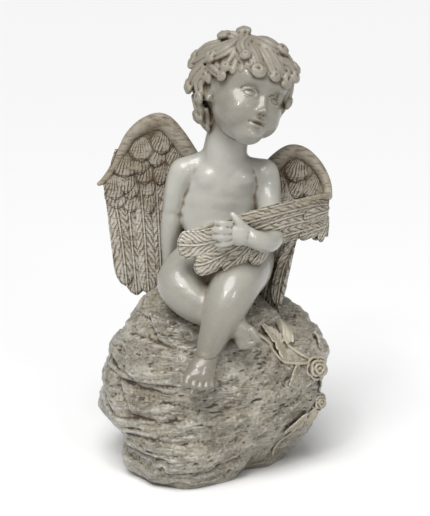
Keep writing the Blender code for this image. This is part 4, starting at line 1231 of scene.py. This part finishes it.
class Paint:
    """A material whose nodes are made by one method."""

    def __init__(self, name):
        self.material = bpy.data.materials.new(name)
        self.material.use_nodes = True
        self.tree = self.material.node_tree
        self.shader = self.tree.nodes["Principled BSDF"]

    def node(self, kind, settings=None, *values, out=0, **named):
        """Makes a node, sets its settings, fills its sockets and gives its output."""
        made = self.tree.nodes.new(kind)
        for name, value in (settings or {}).items():
            setattr(made, name, value)
        for key, value in [*enumerate(values), *named.items()]:
            self.fill(made.inputs[key], value)
        return Socket(self, made.outputs[out])

    def fill(self, socket, value):
        if isinstance(value, Socket):
            self.tree.links.new(value.link, socket)
        elif value is not None:
            socket.default_value = value

    def attribute(self, name):
        return self.node("ShaderNodeAttribute", {"attribute_name": name}, out="Fac")

    def held_and_shaded(self, *rows):
        """How much wash and painted shade hollows hold. A row is an attribute, the range in which it fills
        and its share.
        """
        shares = [self.attribute(name).between(low, high) * share for name, low, high, share in rows]
        return sum(shares[1:], shares[0])

    def worn(self, *rows):
        """How far wash is rubbed off what stands out, where an attribute is below 0. Rows are as in held."""
        shares = [(0 - self.attribute(name)).between(low, high) * share for name, low, high, share in rows]
        return sum(shares[1:], shares[0])

    def washed(self, ground, wash_and_shade, deep):
        """The ground's colour under the wash and painted shade, and nearly black where both lie deep."""
        return self.mix(deep, self.mix(wash_and_shade, ground, WASH_AND_SHADE_BROWN), DEEP_WASH_AND_SHADE)

    def places(self, scale=(1, 1, 1), turn=(0, 0, 0)):
        """Object coordinates in parts, turned and scaled."""
        here = self.node("ShaderNodeTexCoord", out="Object")
        sized = tuple(value / PART for value in scale)
        return self.node("ShaderNodeMapping", {"vector_type": "POINT"}, here, (0, 0, 0), turn, sized)

    def along(self, axis):
        """How far a place lies along an axis, in parts: to the child's left on X, up on Z."""
        here = self.node("ShaderNodeTexCoord", out="Object")
        return self.node("ShaderNodeSeparateXYZ", None, here, out=axis) * (1 / PART)

    def grain(self, size, detail=3.0, roughness=0.55, where=None, distortion=0.0):
        """Noise whose blobs are about this many parts wide."""
        where = where or self.places()
        return self.node("ShaderNodeTexNoise", {"noise_dimensions": "3D"}, Vector=where, Scale=1 / size,
                         Detail=detail, Roughness=roughness, Distortion=distortion)

    def mix(self, factor, first, second):
        """Blends two colours, whose sockets come after those for numbers and vectors."""
        numbers = [None] * 5
        return self.node("ShaderNodeMix", {"data_type": "RGBA"}, factor, *numbers, first, second, out=2)

    def bump(self, height, distance):
        return self.node("ShaderNodeBump", None, Height=height, Distance=distance * PART, Strength=1.0)

    def finish(self, **sockets):
        for name, value in sockets.items():
            self.fill(self.shader.inputs[name.replace("_", " ")], value)
        return self.material


IVORY = (0.45, 0.44, 0.39, 1)
IVORY_COOL = (0.40, 0.395, 0.355, 1)
IVORY_WORN = (0.62, 0.61, 0.56, 1)
STONE = (0.30, 0.262, 0.185, 1)
STONE_PALE = (0.43, 0.398, 0.318, 1)
HAIR_PALE = (0.30, 0.278, 0.232, 1)
HAIR_DULL = (0.255, 0.232, 0.185, 1)
ROCK_PALE = (0.50, 0.462, 0.372, 1)
ROCK_DULL = (0.345, 0.302, 0.218, 1)
# The wash's brown, which also paints shade in hollows, and the near black of the deepest wash and painted
# shade
WASH_AND_SHADE_BROWN = (0.115, 0.078, 0.042, 1)
# mostly painted shade on the skin, with a random film of dirt
FILM_AND_SHADE = (0.195, 0.176, 0.140, 1)
DEEP_WASH_AND_SHADE = (0.028, 0.017, 0.009, 1)
WASH_DULLS = 0.35           # how much rougher the wash makes a surface


def skin_finish():
    paint = Paint("ivory_skin")
    cloud = paint.grain(26, detail=4)
    ground = paint.mix(cloud.between(0.35, 0.7), IVORY, IVORY_COOL)
    speck = paint.grain(2.2, detail=4)
    height = paint.along("Z")
    # Painted shade: darker from the chest down to the feet and over the face; the wide painted shade and a
    # random film add to it
    painted_shade_by_height = 1 - height.between(100, 262) + height.between(288, 318) * 0.78
    shade_and_film = paint.held_and_shaded(("wide_shade", 0.05, 0.5, 0.8)) + cloud.between(0.5, 0.8) * 0.15 + painted_shade_by_height
    ground = paint.mix((shade_and_film * (0.85 + speck * 0.3)).least(1.0), ground, FILM_AND_SHADE)
    # Wash in the creases, darkened further by painted shade where near surfaces cover the sky
    wash_and_shade = paint.held_and_shaded(("shelter", 0.14, 0.72, 0.9), ("broad", 0.15, 1.4, 0.5), ("fine", 0.02, 0.2, 0.7))
    wash_and_shade = (wash_and_shade * (0.55 + speck * 0.9)).least(1.0)
    # nearly black painted shade in the deepest hollows
    colour = paint.washed(ground, wash_and_shade, paint.held_and_shaded(("shelter", 0.66, 0.95, 0.7)))
    peel = paint.grain(5, detail=2) + paint.grain(14, detail=1) * 2
    return paint.finish(Base_Color=colour, Roughness=0.36 + wash_and_shade * WASH_DULLS, Coat_Weight=0.4 - wash_and_shade * 0.4,
                        Coat_Roughness=0.09, Normal=paint.bump(peel, 0.35))


def hair_finish():
    paint = Paint("washed_hair")
    ground = paint.mix(paint.grain(18).between(0.2, 0.6), HAIR_PALE, HAIR_DULL)
    speck = paint.grain(1.8, detail=4)
    worn = paint.worn(("fine", 0.02, 0.3, 0.3), ("broad", 0.1, 1.2, 0.1))
    ground = paint.mix(worn * speck.between(0.35, 0.6), ground, IVORY_WORN)
    # Wash between the locks, with painted shade where near and wider surfaces cover the sky, nearly black in
    # the deepest hollows
    wash_and_shade = paint.held_and_shaded(("shelter", 0.22, 0.68, 0.8), ("fine", 0.0, 0.16, 0.75), ("broad", 0.0, 0.6, 0.5),
                      ("wide_shade", 0.1, 0.6, 0.35))
    wash_and_shade = (wash_and_shade * (0.5 + speck)).least(1.0)
    colour = paint.washed(ground, wash_and_shade, paint.held_and_shaded(("shelter", 0.55, 0.9, 0.85)))
    peel = paint.bump(paint.grain(2.4), 0.35)
    return paint.finish(Base_Color=colour, Roughness=0.40 + wash_and_shade * WASH_DULLS, Normal=peel)


def feather_finish():
    paint = Paint("washed_feathers")
    barbs, across, rim = [paint.attribute(name) for name in ("barbs", "across", "rim")]
    on_vane = barbs.between(0.2, 0.9)
    quill = 1 - across.between(0.5, 1.1)
    quill_sides = across.between(0.8, 1.3) * (1 - across.between(1.5, 2.3))
    wander = paint.grain(8, detail=2)
    wave = ((barbs + wander * 1.5) * (2 * math.pi)).sin() * 0.5 + 0.5
    patchy = 0.15 + paint.grain(7, detail=2).between(0.36, 0.62) * 0.6
    groove = wave.between(0.58, 0.96) * (1 - quill) * patchy
    lip = 1 - rim.between(0.4, 1.0)
    seam = rim.between(0.8, 1.3) * (1 - rim.between(1.6, 2.6))
    cut = ((groove * 1.05 + quill_sides * 0.5 + seam * 0.4) * on_vane).least(1.0)
    slanted = paint.places((0.12, 0.12, 0.6), (0, 0.5, 0))
    engraved = paint.grain(1.0, detail=3, where=slanted, distortion=0.6).between(0.52, 0.66)
    speck = paint.grain(2.0, detail=4)
    cloud = paint.grain(20)
    ground = paint.mix(cloud.between(0.3, 0.7), STONE_PALE, STONE)
    worn = lip * on_vane * 0.6 + (1 - cut) * on_vane * 0.35 + paint.worn(("broad", 0.1, 1.0, 0.4))
    ground = paint.mix((worn * speck.between(0.3, 0.6)).least(1.0), ground, IVORY_WORN)
    # Wash in the hollows, with painted shade where near surfaces cover the sky, nearly black in the deepest
    # hollows
    hollows = paint.held_and_shaded(("shelter", 0.2, 0.66, 0.7), ("broad", 0.0, 0.5, 0.5), ("fine", 0.0, 0.2, 0.4))
    wash_and_shade = cut * 0.95 + hollows + engraved * 0.35
    # darker higher up, from 222 to 262 parts up
    wash_and_shade = wash_and_shade + cloud.between(0.52, 0.75) * 0.4 + paint.along("Z").between(222, 262) * 0.5
    wash_and_shade = (wash_and_shade * (0.4 + speck)).least(1.0)
    colour = paint.washed(ground, wash_and_shade, paint.held_and_shaded(("shelter", 0.5, 0.9, 0.8)))
    height = (1 - cut) * 0.8 + quill * on_vane * 0.5 - engraved * 0.25
    carving = paint.bump(height, 1.3)
    return paint.finish(Base_Color=colour, Roughness=0.42 + wash_and_shade * WASH_DULLS, Normal=carving)


def rock_finish():
    paint = Paint("washed_stone")
    cloud = paint.grain(24, detail=5)
    ground = paint.mix(cloud.between(0.3, 0.7), ROCK_PALE, ROCK_DULL)
    level = paint.places((0.06, 0.06, 0.5))
    level = paint.grain(1.0, detail=6, roughness=0.7, where=level, distortion=0.6)
    slanted = paint.places((0.07, 0.07, 0.5), (0, math.radians(-30), 0))
    slanted = paint.grain(1.0, detail=6, roughness=0.7, where=slanted, distortion=0.6)
    left = paint.along("X").between(-10, 40)
    split = level * (1 - left) + slanted * left
    crumb = paint.grain(2.8, detail=6, roughness=0.75)
    speck = paint.grain(1.6, detail=1)
    patch = paint.grain(15, detail=2)
    # Ridges are paler where the wash is rubbed off, and this pale also paints highlights on the ridges
    worn = paint.worn(("fine", 0.0, 0.2, 0.55), ("broad", -0.1, 0.8, 0.6))
    ground = paint.mix((worn * crumb.between(0.35, 0.6)).least(1.0), ground, IVORY_WORN)
    # Wash in the hollows, with painted shade where near and wider surfaces cover the sky
    hollow = paint.held_and_shaded(("fine", 0.03, 0.25, 0.6), ("broad", 0.1, 0.8, 0.6), ("shelter", 0.22, 0.7, 0.6),
                        ("wide_shade", 0.2, 0.7, 0.3))
    cracks = (1 - (split - 0.5).abs().between(0.004, 0.035)) * patch.between(0.35, 0.6)
    lines = (1 - split.between(0.32, 0.44)) * 0.35 + cracks * 0.4
    holes = speck.between(0.73, 0.79) * patch.between(0.42, 0.6) * 0.9
    wash_and_shade = (hollow + lines) * (0.2 + crumb * 1.2) + cloud.between(0.5, 0.8) * 0.2
    # nearly black in the pits, and painted shade in the deepest hollows
    deep = (holes + paint.held_and_shaded(("shelter", 0.5, 0.9, 0.8))).least(1.0)
    colour = paint.washed(ground, (wash_and_shade + holes).least(1.0), deep)
    height = split * 1.6 + crumb * 1.2 - holes * 0.7 - cracks * 0.5
    return paint.finish(Base_Color=colour, Roughness=0.34 + wash_and_shade.least(1.0) * 0.4, Coat_Weight=0.5,
                        Coat_Roughness=0.2, Normal=paint.bump(height, 2.0))


def rose_finish():
    paint = Paint("washed_roses")
    ground = paint.mix(paint.grain(14).between(0.3, 0.7), STONE_PALE, STONE)
    speck = paint.grain(2.0, detail=4)
    worn = paint.worn(("fine", 0.02, 0.2, 0.6))
    ground = paint.mix(worn * speck.between(0.35, 0.6), ground, IVORY_WORN)
    # Wash in the folds, with painted shade where near surfaces cover the sky, nearly black in the deepest
    # hollows
    wash_and_shade = paint.held_and_shaded(("shelter", 0.2, 0.7, 0.8), ("broad", 0.0, 0.5, 0.5), ("fine", 0.0, 0.15, 0.6))
    wash_and_shade = (wash_and_shade * (0.5 + speck)).least(1.0)
    colour = paint.washed(ground, wash_and_shade, paint.held_and_shaded(("shelter", 0.55, 0.9, 0.8)))
    peel = paint.bump(paint.grain(2.4), 0.3)
    return paint.finish(Base_Color=colour, Roughness=0.40 + wash_and_shade * WASH_DULLS, Normal=peel)


# Stage, light and camera

FLOOR_SIZE = 60
SKY = 0.32
DAYLIGHT = 2.75             # strength of the broad light from above on the child's right
DAYLIGHT_WAY = (0.14, 0.56, -0.95)
DAYLIGHT_SPREAD = 38        # in degrees
# Square lamps: name, place in parts, power, and width in metres
LAMPS = [
    ("lamp", (-500, -1500, 1500), 4.5, 0.22),
    ("window", (600, -1300, 900), 2.5, 0.2),
]
LAMP_AIM = (0, 0, 200)


def stage():
    bpy.ops.object.select_all(action="DESELECT")
    bpy.ops.mesh.primitive_plane_add(size=1, location=(0, 0, 0))
    floor = bpy.context.object
    floor.name = "floor"
    floor.data.transform(Matrix.Scale(FLOOR_SIZE, 4))
    paint = Paint("pale_floor")
    floor.data.materials.append(paint.finish(Base_Color=(0.9, 0.9, 0.9, 1), Roughness=0.9))
    world = bpy.data.worlds.new("soft sky")
    world.use_nodes = True
    background = world.node_tree.nodes["Background"]
    background.inputs["Color"].default_value = (1, 1, 1, 1)
    background.inputs["Strength"].default_value = SKY
    bpy.context.scene.world = world
    bpy.context.scene.view_settings.view_transform = "Standard"


def soft_light(name, place, power, size):
    """A square lamp at a place in parts, which looks at the statue."""
    bpy.ops.object.light_add(type="AREA", location=parts(*place))
    light = bpy.context.object
    light.name = name
    light.data.energy = power
    light.data.size = size
    aim = parts(*LAMP_AIM) - light.location
    light.rotation_euler = aim.to_track_quat("-Z", "Y").to_euler()


def daylight():
    """One broad soft light, the same over the whole floor."""
    bpy.ops.object.light_add(type="SUN")
    light = bpy.context.object
    light.name = "daylight"
    light.data.energy = DAYLIGHT
    light.data.angle = math.radians(DAYLIGHT_SPREAD)
    light.rotation_euler = Vector(DAYLIGHT_WAY).to_track_quat("-Z", "Y").to_euler()


def camera():
    rise = math.radians(CAMERA_RISE)
    back = Vector((0, -math.cos(rise), math.sin(rise)))
    bpy.ops.object.camera_add(location=parts(*AIM) + back * CAMERA_AWAY * PART)
    made = bpy.context.object
    made.rotation_euler = (-back).to_track_quat("-Z", "Y").to_euler()
    made.data.lens = LENS
    made.data.sensor_width = SENSOR
    made.data.clip_start = NEAREST
    bpy.context.scene.camera = made


def main():
    rock = boulder()
    dressed = [
        (figure(), skin_finish()),
        (hair(), hair_finish()),
        (right_wing(), feather_finish()),
        (left_wing(), feather_finish()),
        (rock, rock_finish()),
        (rose_spray(rock), rose_finish()),
    ]
    for template in (UNIT_BALL, SHORT_VANE, LONG_VANE):
        bpy.data.objects.remove(template)
    lay_wash_and_shade([piece for piece, _ in dressed])
    for piece, finish in dressed:
        piece.data.materials.clear()
        piece.data.materials.append(finish)
        pick(piece)
        bpy.ops.object.shade_smooth()
        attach(piece, "root")
        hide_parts("angel_statue")
    stage()
    daylight()
    for lamp in LAMPS:
        soft_light(*lamp)
    camera()


main()
